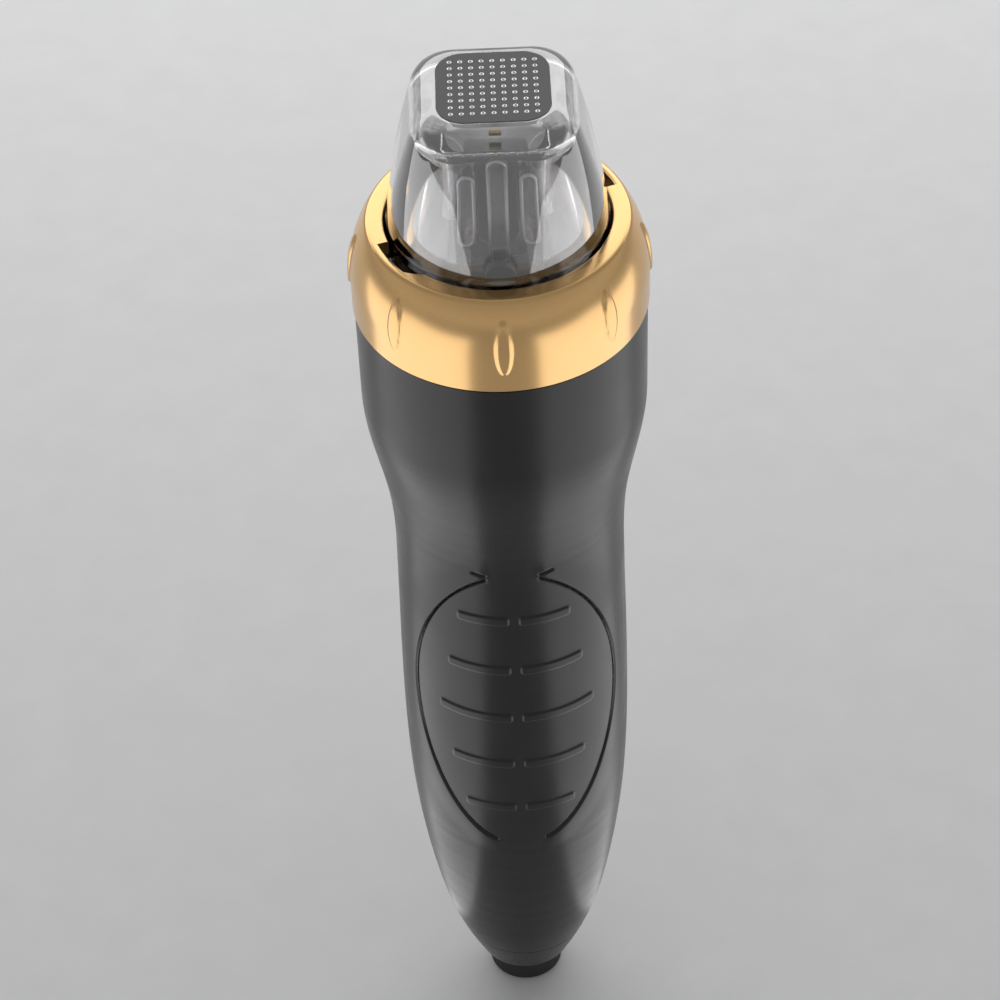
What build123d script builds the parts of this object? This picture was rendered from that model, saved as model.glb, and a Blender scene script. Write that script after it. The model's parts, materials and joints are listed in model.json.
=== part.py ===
from build123d import *
import os
from math import cos, radians, sin, sqrt

os.makedirs("parts", exist_ok=True)

# Hand-held microneedle handle, upright: +Z runs up the axis to the needles, the front is -Y and the
# origin is on the axis at the foot of the cable gland. Millimetres. Azimuths turn about the axis
# from the front, positive towards +X.

# Clearances
RUN_GAP = 0.07           # radial, between pieces that turn or slide in each other
SEAT_GAP = 0.05          # around a piece held still in its seat
FREE_GAP = 0.3           # between bodies that only pass each other
TRAVEL_GAP = 0.3         # left at a stop

# Body, from the tail up
GLAND_LEN = 7.0
GLAND_R = 6.5
GLAND_STEP = 1.5         # gland's foot beyond its stem
GLAND_EDGE = 0.8
CABLE_BORE_R = 3.2
CAP_LEN = 8.0
CAP_TOP = 1.0            # gland's stem ends below the cap's top
TAIL_LEN = 65.0          # fattest part of the grip to the cut end
TAIL_POINT = 8.0         # cut end to where the tail's ellipse would close
TAIL_PULL = 0.7          # length of the curve's tangent at the cut end, in tail steps
GRIP_R = 18.65
GRIP_LEN = 33.0          # fattest part of the grip to the waist
WAIST_R = 18.2
WAIST_LEN = 18.0
FOOT_R = 18.75           # foot of the shoulder
SHOULDER_LEN = 20.0
SHOULDER_R = 20.5        # half way down the shoulder
HEAD_R = 21.7
HEAD_LEN = 17.0
SHELL_WALL = 2.2
SEAM = 0.1               # parting line between the halves

# Grip bars and the two crescents round them
BAR_ROWS = 5
BAR_PITCH = 11.1
BAR_R = 1.0
BAR_SINK = 0.45          # centre of a bar's section below the skin
BAR_REACH = 43.7         # azimuth of the middle bars' outer ends
BAR_SHRINK = 6.0         # less azimuth, a row further from the middle
BAR_SPLIT = 3.0          # azimuth of the inner ends
PAD_RISE = 14.3          # middle row above the fattest part of the grip
CRESCENT_HALF_W = 16.1
CRESCENT_HALF_H = 32.6
CRESCENT_WIDTH = 0.42
CRESCENT_DEPTH = 0.6
CRESCENT_OPEN = 4.9      # half the gap between the crescents' ends

# Lock ring
RING_HEIGHT = 14.75
RING_SWELL = 0.25        # ring beyond the head band
RIM_WALL = 0.9           # outside the lugs' bay
RING_WALL = 3.15         # between the head's radius and the socket
RING_CURVE = 9.5         # height of the curved part below the rim
LIP_GAP = 0.4            # between the lip and the cartridge's skirt
LIP_H = 2.4
LUG_BAY_GAP = 0.5
LUG_BAY_H = 3.1
RIM_ROUND = 0.3
OVALS = 8
OVAL_W = 2.9
OVAL_H = 9.1
OVAL_DROP = 7.1          # centre below the rim
OVAL_PROUD = 0.35
OVAL_ROOT = 2.0          # depth of an oval's foot inside the ring
NOTCH_START = -72.0
NOTCH_END = -49.0
NOTCH_RAMP = -40.0
NOTCH_OVERCUT = 2.0      # notch's outline inside the lip
LUGS = 2

# Nose socket, its retainer and seals
SOCKET_WALL = 2.35
SOCKET_FLOOR = 14.0      # depth of the socket's floor below the rim
FLOOR_H = 3.0
FLANGE_H = 3.0
FLANGE_GAP = 0.15        # between the flange and the body's wall
FLANGE_WALL = 3.05
FLANGE_SCREWS = 3
FLANGE_SCREW_TOP = 0.8   # left over a screw's hole
RETAINER_DROP = 12.0
RETAINER_H = 1.3
RETAINER_BITE = 0.95     # into the socket
RETAINER_REACH = 0.75    # into the ring
RETAINER_MOUTH = 5.0
ORING_DROP = 9.0
ORING_R = 0.6
SEAL_R = 5.0
CONTACT_PINS = 6
CONTACT_PITCH_R = 11.5
CONTACT_PIN_R = 0.6
CONTACT_START = 30       # angle of the first pin
CONTACT_BOARD_GAP = 0.5
CONTACT_BOARD_BORE = 6.0
BOARD_H = 1.6
CONTACT_SPACE = 3.0      # room for the board under the socket's floor

# Cartridge
SKIRT_DROP = 2.6         # clear dome's foot below the rim
SKIRT_STEP = 0.15        # skirt beyond the dome's foot
DOME_BAND = 2.9          # dome's top beyond the plate
DOME_ROUND = 1.5
DOME_LEVELS = (22.6, 14.0, 7.0, 0.6)          # above the rim
DOME_SPREAD = (0.0, 0.485, 0.796, 1.0)        # from the top's half width to the foot's
DOME_CORNER = (0.55, 0.67, 0.833, 0.96)       # corner radius over half width
CAVITY_BAND = 0.9        # wall at the top
CAVITY_WALL = 3.6        # wall at the foot
CAVITY_LEVELS = (18.6, 7.0, -SKIRT_DROP)
CAVITY_SPREAD = (0.0, 0.385, 1.0)
CAVITY_CORNER = (0.45, 0.636, 0.794)
BASE_DROP = 13.0         # cartridge base's foot below the rim
BASE_WALL = 2.0
BASE_LID = 1.4
BASE_FLOOR = 1.0
LUG_REACH = 1.6          # lug beyond the skirt
LUG_ROOT = 1.0           # lug's depth in the base
LUG_H = 2.1
LUG_DROP = 2.75
LUG_CLEAR = 1.5          # degrees between a lug and its notch's ends
PLATE_SEAT = 1.0         # width of the ledge under the plate
PLATE_SIZE = 16.0
PLATE_H = 1.2
PLATE_CORNER = 4.0
PLATE_PROUD = 0.1
NEEDLE_ROWS = 9
NEEDLE_PITCH = 1.5
NEEDLE_R = 0.15
NEEDLE_HOLE_R = 0.35
NEEDLE_PROUD = 0.3       # tips above the plate at rest
NEEDLE_IN = 0.6          # travel below rest
NEEDLE_OUT = 3.0         # travel above rest
NEEDLE_POINT = 0.9
CARRIER_EDGE = 0.5       # carrier beyond the outer needles
CARRIER_CORNER = 2.0
CARRIER_H = 2.5
STEM_R = 3.0
STEM_DISC_R = 5.6
STEM_DISC_H = 1.3
CARRIER_SPARE = 1.0      # left over the carrier at full travel
STEM_SPARE = 0.5         # left under the stem at full retraction
SLEEVE_R = 2.6
SLEEVE_X = 5.6
SLEEVE_Y = 4.5
SLEEVE_LEN = 9.5
POST_R = 1.2
POST_SPARE = 1.9         # left over the posts at full retraction
RAIL_SET = 1.0           # rails' middle behind the cavity's front
RAIL_DEPTH = 1.2
RAIL_ROUND = 0.4
RAIL_BAR = 2.6           # height of the bar that joins the rails' feet
RAIL_MID_W = 3.1
RAIL_MID_LOW = -0.6
RAIL_MID_HIGH = 17.7
RAIL_SIDE_X = 4.3
RAIL_SIDE_W = 2.6
RAIL_SIDE_LOW = 2.9
RAIL_SIDE_HIGH = 15.1
STRIP_W = 1.7
STRIP_D = 0.6
STRIP_H = 0.45
STRIP_OUT = 1.0          # strip's middle beyond the plate's edge
STRIP_DROP = 1.25        # strip's middle below the dome's top
KEY_R = 2.2
KEY_LIFT = 0.9
KEY_LEN = 2.0
KEY_PROUD = 1.0          # key's front before the skirt's centre line
PAD_R = 0.9
PAD_H = 0.3
SPRING_R = 4.5
SPRING_WIRE_R = 0.3
SPRING_TURNS = 3

# Drive
TOP_PLATE_GAP = 0.3
TOP_PLATE_H = 3.0
ROD_R = 1.5
ROD_X = 10.0
ROD_SEAT = 1.5
DRIVE_SPACE = 26.0       # between the two plates
BASE_PLATE_GAP = 0.95
BASE_PLATE_H = 2.5
PUSH_R = 3.0
PUSH_BORE_R = 2.0
PUSH_BORE_H = 8.0
CARRIAGE_HALF_X = 12.2
CARRIAGE_HALF_Y = 4.5
CARRIAGE_H = 4.0
CARRIAGE_ROUND = 2.0
CARRIAGE_DROP = 12.0     # carriage's top below the top plate
SCREW_R = 1.5
SCREW_TOP = 6.5          # lead screw's tip above the carriage's foot
SCREW_POINT = 0.4
SCREW_HOLE = 1.5         # depth of the motor's recess under the screw
HUB_R = 2.6
HUB_H = 2.0
HUB_GROOVE_R = 0.5
BUSH_R = 5.5
BUSH_FLANGE_R = 7.0
BUSH_FLANGE_H = 1.5
BEARING_R = 4.0
MOTOR_R = 10.5
MOTOR_LEN = 26.0
MOTOR_EDGE = 1.0
MOTOR_CAP_R = 8.0
MOTOR_CAP_LEN = 3.5
CRADLE_WALL = 1.75
CRADLE_SLOT = 6.4
CRADLE_FLANGE_GAP = 0.4  # inside the ribs
CRADLE_FLANGE_H = 2.0
WEB_H = 2.0
WEB_T = 1.2
WEB_DROP = 3.0           # upper web below the motor
RIB_BITE = 0.6           # of the ribs over the base plate
RIB_H = 1.4

# Boards, leads and fasteners
BOARD_CLEAR = 1.5        # board behind the motor
BOARD_T = 1.6
BOARD_EDGE = 0.42        # board's back corners to the wall at the waist
BOARD_LEN = 63.0
BOARD_GAP = 3.5          # board's top below the base plate
TRACK_IN = 1.1           # cradle's tracks inside the board's edge
TRACK_OUT = 1.4          # and outside it
TRACK_DEPTH = 5.0
TRACK_FOOT = 2.0         # below the board
CHIP_T = 1.2
CHIPS_DROP = 5.0         # chips' datum below the motor
CHIPS = (                # x, z below the datum, width, height
    (-2.5, 4.0, 5.0, 5.0),
    (3.2, 3.0, 3.2, 3.2),
    (0.0, 13.0, 8.0, 8.0),
    (-3.0, 21.5, 3.0, 4.0),
    (3.0, 21.5, 4.0, 3.0),
)
PLUG_HALF_W = 4.0
PLUG_LEN = 8.0
PLUG_DEPTH = 5.5
CABLE_R = 1.8
CABLE_BEND = 18.0
CABLE_RISE = 12.0        # straight above the gland
CABLE_DROP = 10.0        # straight below the plug
LEAD_R = 0.8
LEAD_X = 5.0
LEAD_HOLE_R = 1.2
LEAD_LAP = 4.0           # lead's length beside the board
BRACKET_Y = 7.8
BRACKET_T = 1.0
BRACKET_HALF_W = 6.0
SENSOR_W = 6.0
SENSOR_D = 2.8
SENSOR_H = 5.0
SENSOR_LIFT = 3.0
SMALL_SCREW_R = 0.8
SMALL_SCREW_SPARE = 1.0  # left of a small screw's hole
SMALL_HEAD_R = 1.4
SMALL_HEAD_H = 1.2
SMALL_HEAD_GAP = 0.2
PLATE_SCREWS = (0, 100, -100)    # azimuths
SHELL_SCREW_R = 1.2
SHELL_HEAD_R = 2.2
SHELL_HEAD_H = 1.6
SHELL_SCREW_IN = 6.0     # into the front half
SHELL_SEAT_Y = 6.0
BOSS_R = 2.6
HEAD_BOSS_X = 16.0
HEAD_BOSS_DROP = 1.0     # below the head band
MID_BOSS_X = 12.0
MID_BOSS_RISE = 11.0     # above the fattest part of the grip
TAIL_BOSS_X = 7.0
TAIL_BOSS_RISE = 30.0    # above the tail's end

# Trigger
TRIGGER_DROP = 12.0      # centre below the head band
TRIGGER_W = 8.0
TRIGGER_H = 12.0
TRIGGER_PROUD = 0.45
TRIGGER_TRAVEL = 1.0
TRIGGER_FLANGE = 1.0     # flange beyond the cap all round
TRIGGER_FLANGE_T = 1.2
TRIGGER_BACK_Y = 14.3
SWITCH_SIZE = 4.5
SWITCH_H = 2.4
PLUNGER_R = 1.2
SWITCH_BOARD_T = 1.2
SWITCH_BOARD_EDGE = 2.0  # bracket beyond the switch's board

# Radii and places that follow
TAIL_REACH = TAIL_LEN + TAIL_POINT
GLAND_STEM_R = GLAND_R - GLAND_STEP
SOCKET_R = HEAD_R - RING_WALL
SKIRT_R = SOCKET_R - SOCKET_WALL
LIP_R = SKIRT_R + LIP_GAP
LUG_R = SKIRT_R + LUG_REACH
NOTCH_R = LUG_R + FREE_GAP
LUG_BAY_R = LUG_R + LUG_BAY_GAP
RIM_R = LUG_BAY_R + RIM_WALL
FLANGE_R = HEAD_R - SHELL_WALL - FLANGE_GAP
SOCKET_THROAT_R = FLANGE_R - FLANGE_WALL
FLANGE_SCREW_R = FLANGE_R - FLANGE_WALL / 2
RETAINER_IN_R = SOCKET_R - RETAINER_BITE
RETAINER_OUT_R = SOCKET_R + RETAINER_REACH
CONTACT_BOARD_R = SOCKET_THROAT_R - CONTACT_BOARD_GAP
DOME_TOP_HALF = PLATE_SIZE / 2 + DOME_BAND
DOME_FOOT_HALF = SKIRT_R - SKIRT_STEP
CAVITY_TOP_HALF = DOME_TOP_HALF - CAVITY_BAND
CAVITY_FOOT_HALF = SKIRT_R - CAVITY_WALL
WINDOW_HALF = PLATE_SIZE / 2 - PLATE_SEAT
RAIL_Y = CAVITY_TOP_HALF - RAIL_SET
STRIP_Y = PLATE_SIZE / 2 + STRIP_OUT
CARRIER_SIZE = (NEEDLE_ROWS - 1) * NEEDLE_PITCH + 2 * CARRIER_EDGE
TOP_PLATE_R = HEAD_R - SHELL_WALL - TOP_PLATE_GAP
BASE_PLATE_R = FOOT_R - SHELL_WALL - BASE_PLATE_GAP
BASE_PLATE_FLAT = BRACKET_Y + BRACKET_T - SEAT_GAP
RIB_R = BASE_PLATE_R - RIB_BITE
CRADLE_FLANGE_R = RIB_R - CRADLE_FLANGE_GAP
PLATE_SCREW_R = CRADLE_FLANGE_R - SMALL_HEAD_R - SMALL_HEAD_GAP
BOARD_Y = MOTOR_R + BOARD_CLEAR
BOARD_HALF_W = sqrt((WAIST_R - SHELL_WALL - BOARD_EDGE) ** 2 - (BOARD_Y + BOARD_T) ** 2)
TRACK_IN_X = BOARD_HALF_W - TRACK_IN
TRACK_OUT_X = BOARD_HALF_W + TRACK_OUT
CABLE_Y = BOARD_Y - WEB_T - TRAVEL_GAP - CABLE_R
LEAD_Y = BOARD_Y - LEAD_R

# Heights that follow
TAIL_Z = GLAND_LEN
CAP_Z = TAIL_Z + CAP_LEN
GRIP_Z = TAIL_Z + TAIL_LEN
WAIST_Z = GRIP_Z + GRIP_LEN
FOOT_Z = WAIST_Z + WAIST_LEN
HEAD_Z = FOOT_Z + SHOULDER_LEN
SHELL_TOP_Z = HEAD_Z + HEAD_LEN
RING_Z = SHELL_TOP_Z + FREE_GAP
RIM_Z = RING_Z + RING_HEIGHT
PAD_Z = GRIP_Z + PAD_RISE
SOCKET_TOP_Z = RIM_Z - LIP_H - LUG_BAY_H - FREE_GAP
FLOOR_Z = RIM_Z - SOCKET_FLOOR
FLOOR_UNDER_Z = FLOOR_Z - FLOOR_H
LEDGE_Z = FLOOR_UNDER_Z - CONTACT_SPACE
FLANGE_Z = LEDGE_Z - FLANGE_H
TOP_PLATE_Z = FLANGE_Z - TOP_PLATE_H
BASE_PLATE_Z = TOP_PLATE_Z - DRIVE_SPACE
DRIVE_FOOT_Z = BASE_PLATE_Z - BASE_PLATE_H
MOTOR_Z = DRIVE_FOOT_Z - MOTOR_LEN
CARRIAGE_Z = TOP_PLATE_Z - CARRIAGE_DROP
BOARD_TOP_Z = DRIVE_FOOT_Z - BOARD_GAP
BOARD_FOOT_Z = BOARD_TOP_Z - BOARD_LEN
TRIGGER_Z = HEAD_Z - TRIGGER_DROP
DOME_TOP_Z = RIM_Z + DOME_LEVELS[0]
BASE_Z = RIM_Z - BASE_DROP
STEM_Z = BASE_Z + BASE_FLOOR + STEM_SPARE + NEEDLE_IN
CARRIER_Z = DOME_TOP_Z + PLATE_PROUD - PLATE_H - CARRIER_SPARE - NEEDLE_OUT - CARRIER_H
PUSH_TOP_Z = STEM_Z - TRAVEL_GAP

BASE = (Align.CENTER, Align.CENTER, Align.MIN)
HANGING = (Align.CENTER, Align.CENTER, Align.MAX)
LUG_MID = (NOTCH_START + NOTCH_END) / 2
LUG_ARC = NOTCH_END - NOTCH_START - 2 * LUG_CLEAR
BOSSES = (
    (HEAD_BOSS_X, HEAD_Z - HEAD_BOSS_DROP),
    (MID_BOSS_X, GRIP_Z + MID_BOSS_RISE),
    (TAIL_BOSS_X, TAIL_Z + TAIL_BOSS_RISE),
)


def spot(radius, azimuth, z=0.0):
    """Point at a radius and azimuth, 0 at the front."""
    turn = radians(azimuth)
    return (radius * sin(turn), -radius * cos(turn), z)


def radial_plane(azimuth):
    """Upright plane through the axis whose x points outwards at the azimuth."""
    turn = radians(azimuth)
    return Plane(origin=(0, 0, 0), x_dir=(sin(turn), -cos(turn), 0), z_dir=(-cos(turn), -sin(turn), 0))


def body_curve(inset):
    """Outline from the head band down to the tail's end, where the tail follows part of an ellipse."""
    tail = []
    for share in (1 / 3, 2 / 3, 1):
        drop = share * TAIL_LEN
        tail.append((GRIP_R * sqrt(1 - (drop / TAIL_REACH) ** 2) - inset, GRIP_Z - drop))
    end_x, end_z = tail[2][0] - tail[1][0], tail[2][1] - tail[1][1]
    return Spline(
        (HEAD_R - inset, HEAD_Z),
        (SHOULDER_R - inset, (HEAD_Z + FOOT_Z) / 2),
        (FOOT_R - inset, FOOT_Z),
        (WAIST_R - inset, WAIST_Z),
        (GRIP_R - inset, GRIP_Z),
        *tail,
        tangents=((0, -1), (end_x, TAIL_PULL * end_z)),
    )


def skin_outline(inset):
    """Closed half section of the body, drawn in from the skin, or out with a negative inset."""
    Line((0, SHELL_TOP_Z), (HEAD_R - inset, SHELL_TOP_Z))
    Line((HEAD_R - inset, SHELL_TOP_Z), (HEAD_R - inset, HEAD_Z))
    curve = body_curve(inset)
    Line(curve @ 1, (0, TAIL_Z))
    Line((0, TAIL_Z), (0, SHELL_TOP_Z))


def skin_radius(z):
    """Radius of the skin at a height below the head band."""
    curve = body_curve(0)
    high, low = 0.0, 1.0
    for _ in range(40):
        middle = (high + low) / 2
        if curve.position_at(middle).Y > z:
            high = middle
        else:
            low = middle
    return curve.position_at(low).X


# Solid of the body's outer skin
with BuildPart() as skin:
    with BuildSketch(Plane.XZ):
        with BuildLine():
            skin_outline(0)
        make_face()
    revolve(axis=Axis.Z)

# Space inside the wall
with BuildPart() as cavity:
    with BuildSketch(Plane.XZ):
        with BuildLine():
            skin_outline(SHELL_WALL)
        make_face()
    revolve(axis=Axis.Z)

# Solid a little outside the skin, for what stands proud of it
with BuildPart() as proud_skin:
    with BuildSketch(Plane.XZ):
        with BuildLine():
            skin_outline(-TRIGGER_PROUD)
        make_face()
    revolve(axis=Axis.Z)

# Solid below the crescents' floor
with BuildPart() as crescent_floor:
    with BuildSketch(Plane.XZ):
        with BuildLine():
            skin_outline(CRESCENT_DEPTH)
        make_face()
    revolve(axis=Axis.Z)

# Solid between the wall's two faces, where the bosses end
with BuildPart() as mid_wall:
    with BuildSketch(Plane.XZ):
        with BuildLine():
            skin_outline(SHELL_WALL / 2)
        make_face()
    revolve(axis=Axis.Z)

# Whole hollow body before it is split: wall, ledge over the socket's flange, ribs round the base plate
with BuildPart() as hollow_body:
    add(skin.part)
    with BuildSketch(Plane.XY.offset(TAIL_Z)):
        Circle(GRIP_R)
    extrude(amount=CAP_LEN + SEAM, mode=Mode.SUBTRACT)
    with Locations((0, 0, LEDGE_Z)):
        Cylinder(SOCKET_R + SEAT_GAP, SHELL_TOP_Z - LEDGE_Z, align=BASE, mode=Mode.SUBTRACT)
with BuildPart() as inner_space:
    add(cavity.part)
    with BuildSketch(Plane.XY.offset(LEDGE_Z)):
        Circle(HEAD_R)
    extrude(amount=SHELL_TOP_Z - LEDGE_Z, mode=Mode.SUBTRACT)
    for rib_z in (BASE_PLATE_Z + SEAT_GAP, DRIVE_FOOT_Z - SEAT_GAP - RIB_H):
        with BuildSketch(Plane.XY.offset(rib_z)):
            Circle(HEAD_R)
            Circle(RIB_R, mode=Mode.SUBTRACT)
            with Locations((0, BASE_PLATE_FLAT)):
                Rectangle(2 * HEAD_R, HEAD_R, align=(Align.CENTER, Align.MIN), mode=Mode.SUBTRACT)
        extrude(amount=RIB_H, mode=Mode.SUBTRACT)
with BuildPart() as body_wall:
    add(hollow_body.part)
    add(inner_space.part, mode=Mode.SUBTRACT)

# Posts that the shell screws run in
with BuildPart() as boss_posts:
    with BuildSketch(Plane.XZ.offset(-HEAD_R)):
        for boss_x, boss_z in BOSSES:
            with Locations((boss_x, boss_z), (-boss_x, boss_z)):
                Circle(BOSS_R)
    extrude(amount=2 * HEAD_R)
    add(mid_wall.part, mode=Mode.INTERSECT)

# Front half, with grip bars and crescents
with BuildPart() as crescents:
    with BuildSketch(Plane.XZ):
        with Locations((0, PAD_Z)):
            Ellipse(CRESCENT_HALF_W, CRESCENT_HALF_H)
            Ellipse(
                CRESCENT_HALF_W - CRESCENT_WIDTH,
                CRESCENT_HALF_H - 2 * CRESCENT_WIDTH,
                mode=Mode.SUBTRACT,
            )
            Rectangle(2 * CRESCENT_OPEN, 3 * CRESCENT_HALF_H, mode=Mode.SUBTRACT)
    extrude(amount=2 * GRIP_R)
    add(crescent_floor.part, mode=Mode.SUBTRACT)

with BuildPart() as front_shell:
    add(body_wall.part)
    add(boss_posts.part)
    with BuildSketch(Plane.XZ.offset(-HEAD_R - SEAM)):
        with Locations((0, SHELL_TOP_Z / 2)):
            Rectangle(3 * HEAD_R, 2 * SHELL_TOP_Z)
    extrude(amount=HEAD_R + SEAM + SEAM / 2, mode=Mode.SUBTRACT)
    for row in range(BAR_ROWS):
        step = row - (BAR_ROWS - 1) / 2
        bar_z = PAD_Z - step * BAR_PITCH
        bar_r = skin_radius(bar_z) - BAR_SINK
        outer_end = BAR_REACH - BAR_SHRINK * abs(step)
        for first, last in ((-outer_end, -BAR_SPLIT), (BAR_SPLIT, outer_end)):
            with BuildSketch(radial_plane(first)):
                with Locations((bar_r, bar_z)):
                    Circle(BAR_R)
            revolve(axis=Axis.Z, revolution_arc=last - first)
            with Locations(spot(bar_r, first, bar_z), spot(bar_r, last, bar_z)):
                Sphere(BAR_R)
    add(crescents.part, mode=Mode.SUBTRACT)
    for boss_x, boss_z in BOSSES:
        with Locations(Plane.XZ.offset(SEAM / 2)):
            with Locations((boss_x, boss_z), (-boss_x, boss_z)):
                Cylinder(
                    SHELL_SCREW_R + SEAT_GAP,
                    SHELL_SCREW_IN + TRAVEL_GAP,
                    align=BASE,
                    mode=Mode.SUBTRACT,
                )

# Rear half, with counterbored screw holes and the trigger's opening
with BuildPart() as rear_shell:
    add(body_wall.part)
    add(boss_posts.part)
    with BuildSketch(Plane.XZ.offset(-SEAM / 2)):
        with Locations((0, SHELL_TOP_Z / 2)):
            Rectangle(3 * HEAD_R, 2 * SHELL_TOP_Z)
    extrude(amount=HEAD_R + SEAM, mode=Mode.SUBTRACT)
    with BuildSketch(Plane.XZ.offset(-HEAD_R)):
        for boss_x, boss_z in BOSSES:
            with Locations((boss_x, boss_z), (-boss_x, boss_z)):
                Circle(SHELL_SCREW_R + SEAT_GAP)
    extrude(amount=HEAD_R, mode=Mode.SUBTRACT)
    with BuildSketch(Plane.XZ.offset(-HEAD_R)):
        for boss_x, boss_z in BOSSES:
            with Locations((boss_x, boss_z), (-boss_x, boss_z)):
                Circle(SHELL_HEAD_R + 2 * SEAT_GAP)
    extrude(amount=HEAD_R - SHELL_SEAT_Y, mode=Mode.SUBTRACT)
    with BuildSketch(Plane.XZ.offset(-HEAD_R)):
        with Locations((0, TRIGGER_Z)):
            SlotOverall(TRIGGER_H + 2 * FREE_GAP, TRIGGER_W + 2 * FREE_GAP, rotation=90)
    extrude(amount=HEAD_R - TRIGGER_BACK_Y + TRIGGER_FLANGE_T, mode=Mode.SUBTRACT)

# Six screws through the rear half into the front half
with BuildPart() as shell_screws:
    with BuildSketch(Plane.XZ.offset(-SHELL_SEAT_Y)):
        for boss_x, boss_z in BOSSES:
            with Locations((boss_x, boss_z), (-boss_x, boss_z)):
                Circle(SHELL_SCREW_R)
    extrude(amount=SHELL_SEAT_Y + SHELL_SCREW_IN)
    with BuildSketch(Plane.XZ.offset(-SHELL_SEAT_Y - SHELL_HEAD_H)):
        for boss_x, boss_z in BOSSES:
            with Locations((boss_x, boss_z), (-boss_x, boss_z)):
                Circle(SHELL_HEAD_R)
                RegularPolygon(SHELL_SCREW_R, 6, mode=Mode.SUBTRACT)
    extrude(amount=SHELL_HEAD_H)

# Tail cap, which carries on the body's curve, and the gland in it
with BuildPart() as tail_cap:
    add(skin.part)
    with BuildSketch(Plane.XY.offset(CAP_Z)):
        Circle(2 * HEAD_R)
    extrude(amount=SHELL_TOP_Z, mode=Mode.SUBTRACT)
    with Locations((0, 0, CAP_Z)):
        Hole(GLAND_STEM_R + SEAT_GAP)

with BuildPart() as cable_gland:
    Cylinder(GLAND_R, GLAND_LEN, align=BASE)
    chamfer(cable_gland.faces().sort_by(Axis.Z)[0].edges(), GLAND_EDGE)
    with Locations((0, 0, GLAND_LEN)):
        Cylinder(GLAND_STEM_R, CAP_LEN - CAP_TOP, align=BASE)
    Hole(CABLE_BORE_R)

# Lock ring
with BuildPart() as lock_ring:
    with BuildSketch(Plane.XZ):
        with BuildLine():
            Polyline(
                (LIP_R, RIM_Z),
                (LIP_R, RIM_Z - LIP_H),
                (LUG_BAY_R, RIM_Z - LIP_H),
                (LUG_BAY_R, RIM_Z - LIP_H - LUG_BAY_H),
                (SOCKET_R + RUN_GAP, RIM_Z - LIP_H - LUG_BAY_H),
                (SOCKET_R + RUN_GAP, RING_Z),
                (HEAD_R + RING_SWELL, RING_Z),
                (HEAD_R + RING_SWELL, RIM_Z - RING_CURVE),
            )
            TangentArc((HEAD_R + RING_SWELL, RIM_Z - RING_CURVE), (RIM_R, RIM_Z), tangent=(0, 1))
            Line((RIM_R, RIM_Z), (LIP_R, RIM_Z))
        make_face()
    revolve(axis=Axis.Z)
    fillet(lock_ring.faces().sort_by(Axis.Z)[-1].edges(), RIM_ROUND)
    with Locations((0, 0, RIM_Z - RETAINER_DROP)):
        Cylinder(RETAINER_OUT_R + RUN_GAP, RETAINER_H + FREE_GAP, mode=Mode.SUBTRACT)
    for turn in range(LUGS):
        shift = 360.0 / LUGS * turn
        with BuildSketch(Plane.XY.offset(RIM_Z - LIP_H)):
            with BuildLine():
                start = spot(NOTCH_R, NOTCH_START + shift)[:2]
                middle = spot(NOTCH_R, LUG_MID + shift)[:2]
                end = spot(NOTCH_R, NOTCH_END + shift)[:2]
                ramp = spot(LIP_R - RIM_ROUND, NOTCH_RAMP + shift)[:2]
                inner = spot(LIP_R - NOTCH_OVERCUT, LUG_MID + shift)[:2]
                foot = spot(LIP_R - NOTCH_OVERCUT / 2, NOTCH_START + shift)[:2]
                ThreePointArc(start, middle, end)
                Polyline(end, ramp, inner, foot, start)
            make_face()
        extrude(amount=LIP_H, mode=Mode.SUBTRACT)

# Raised ovals round the ring
with BuildPart() as ring_ovals:
    for index in range(OVALS):
        face_plane = Plane(
            origin=spot(0, 0, RIM_Z - OVAL_DROP),
            x_dir=spot(1, 360.0 / OVALS * index + 90),
            z_dir=spot(1, 360.0 / OVALS * index),
        )
        with BuildSketch(face_plane):
            Ellipse(OVAL_W / 2, OVAL_H / 2)
        extrude(amount=HEAD_R + RING_WALL)
    with BuildSketch(Plane.XZ):
        with BuildLine():
            Polyline(
                (HEAD_R - OVAL_ROOT, RING_Z),
                (HEAD_R + RING_SWELL + OVAL_PROUD, RING_Z),
                (HEAD_R + RING_SWELL + OVAL_PROUD, RIM_Z - RING_CURVE),
            )
            TangentArc(
                (HEAD_R + RING_SWELL + OVAL_PROUD, RIM_Z - RING_CURVE),
                (RIM_R + OVAL_PROUD, RIM_Z),
                tangent=(0, 1),
            )
            Polyline(
                (RIM_R + OVAL_PROUD, RIM_Z),
                (HEAD_R - OVAL_ROOT, RIM_Z - RING_CURVE / 2),
                (HEAD_R - OVAL_ROOT, RING_Z),
            )
        make_face()
    revolve(axis=Axis.Z, mode=Mode.INTERSECT)
with BuildPart() as gold_ring:
    add(lock_ring.part)
    add(ring_ovals.part)

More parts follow.
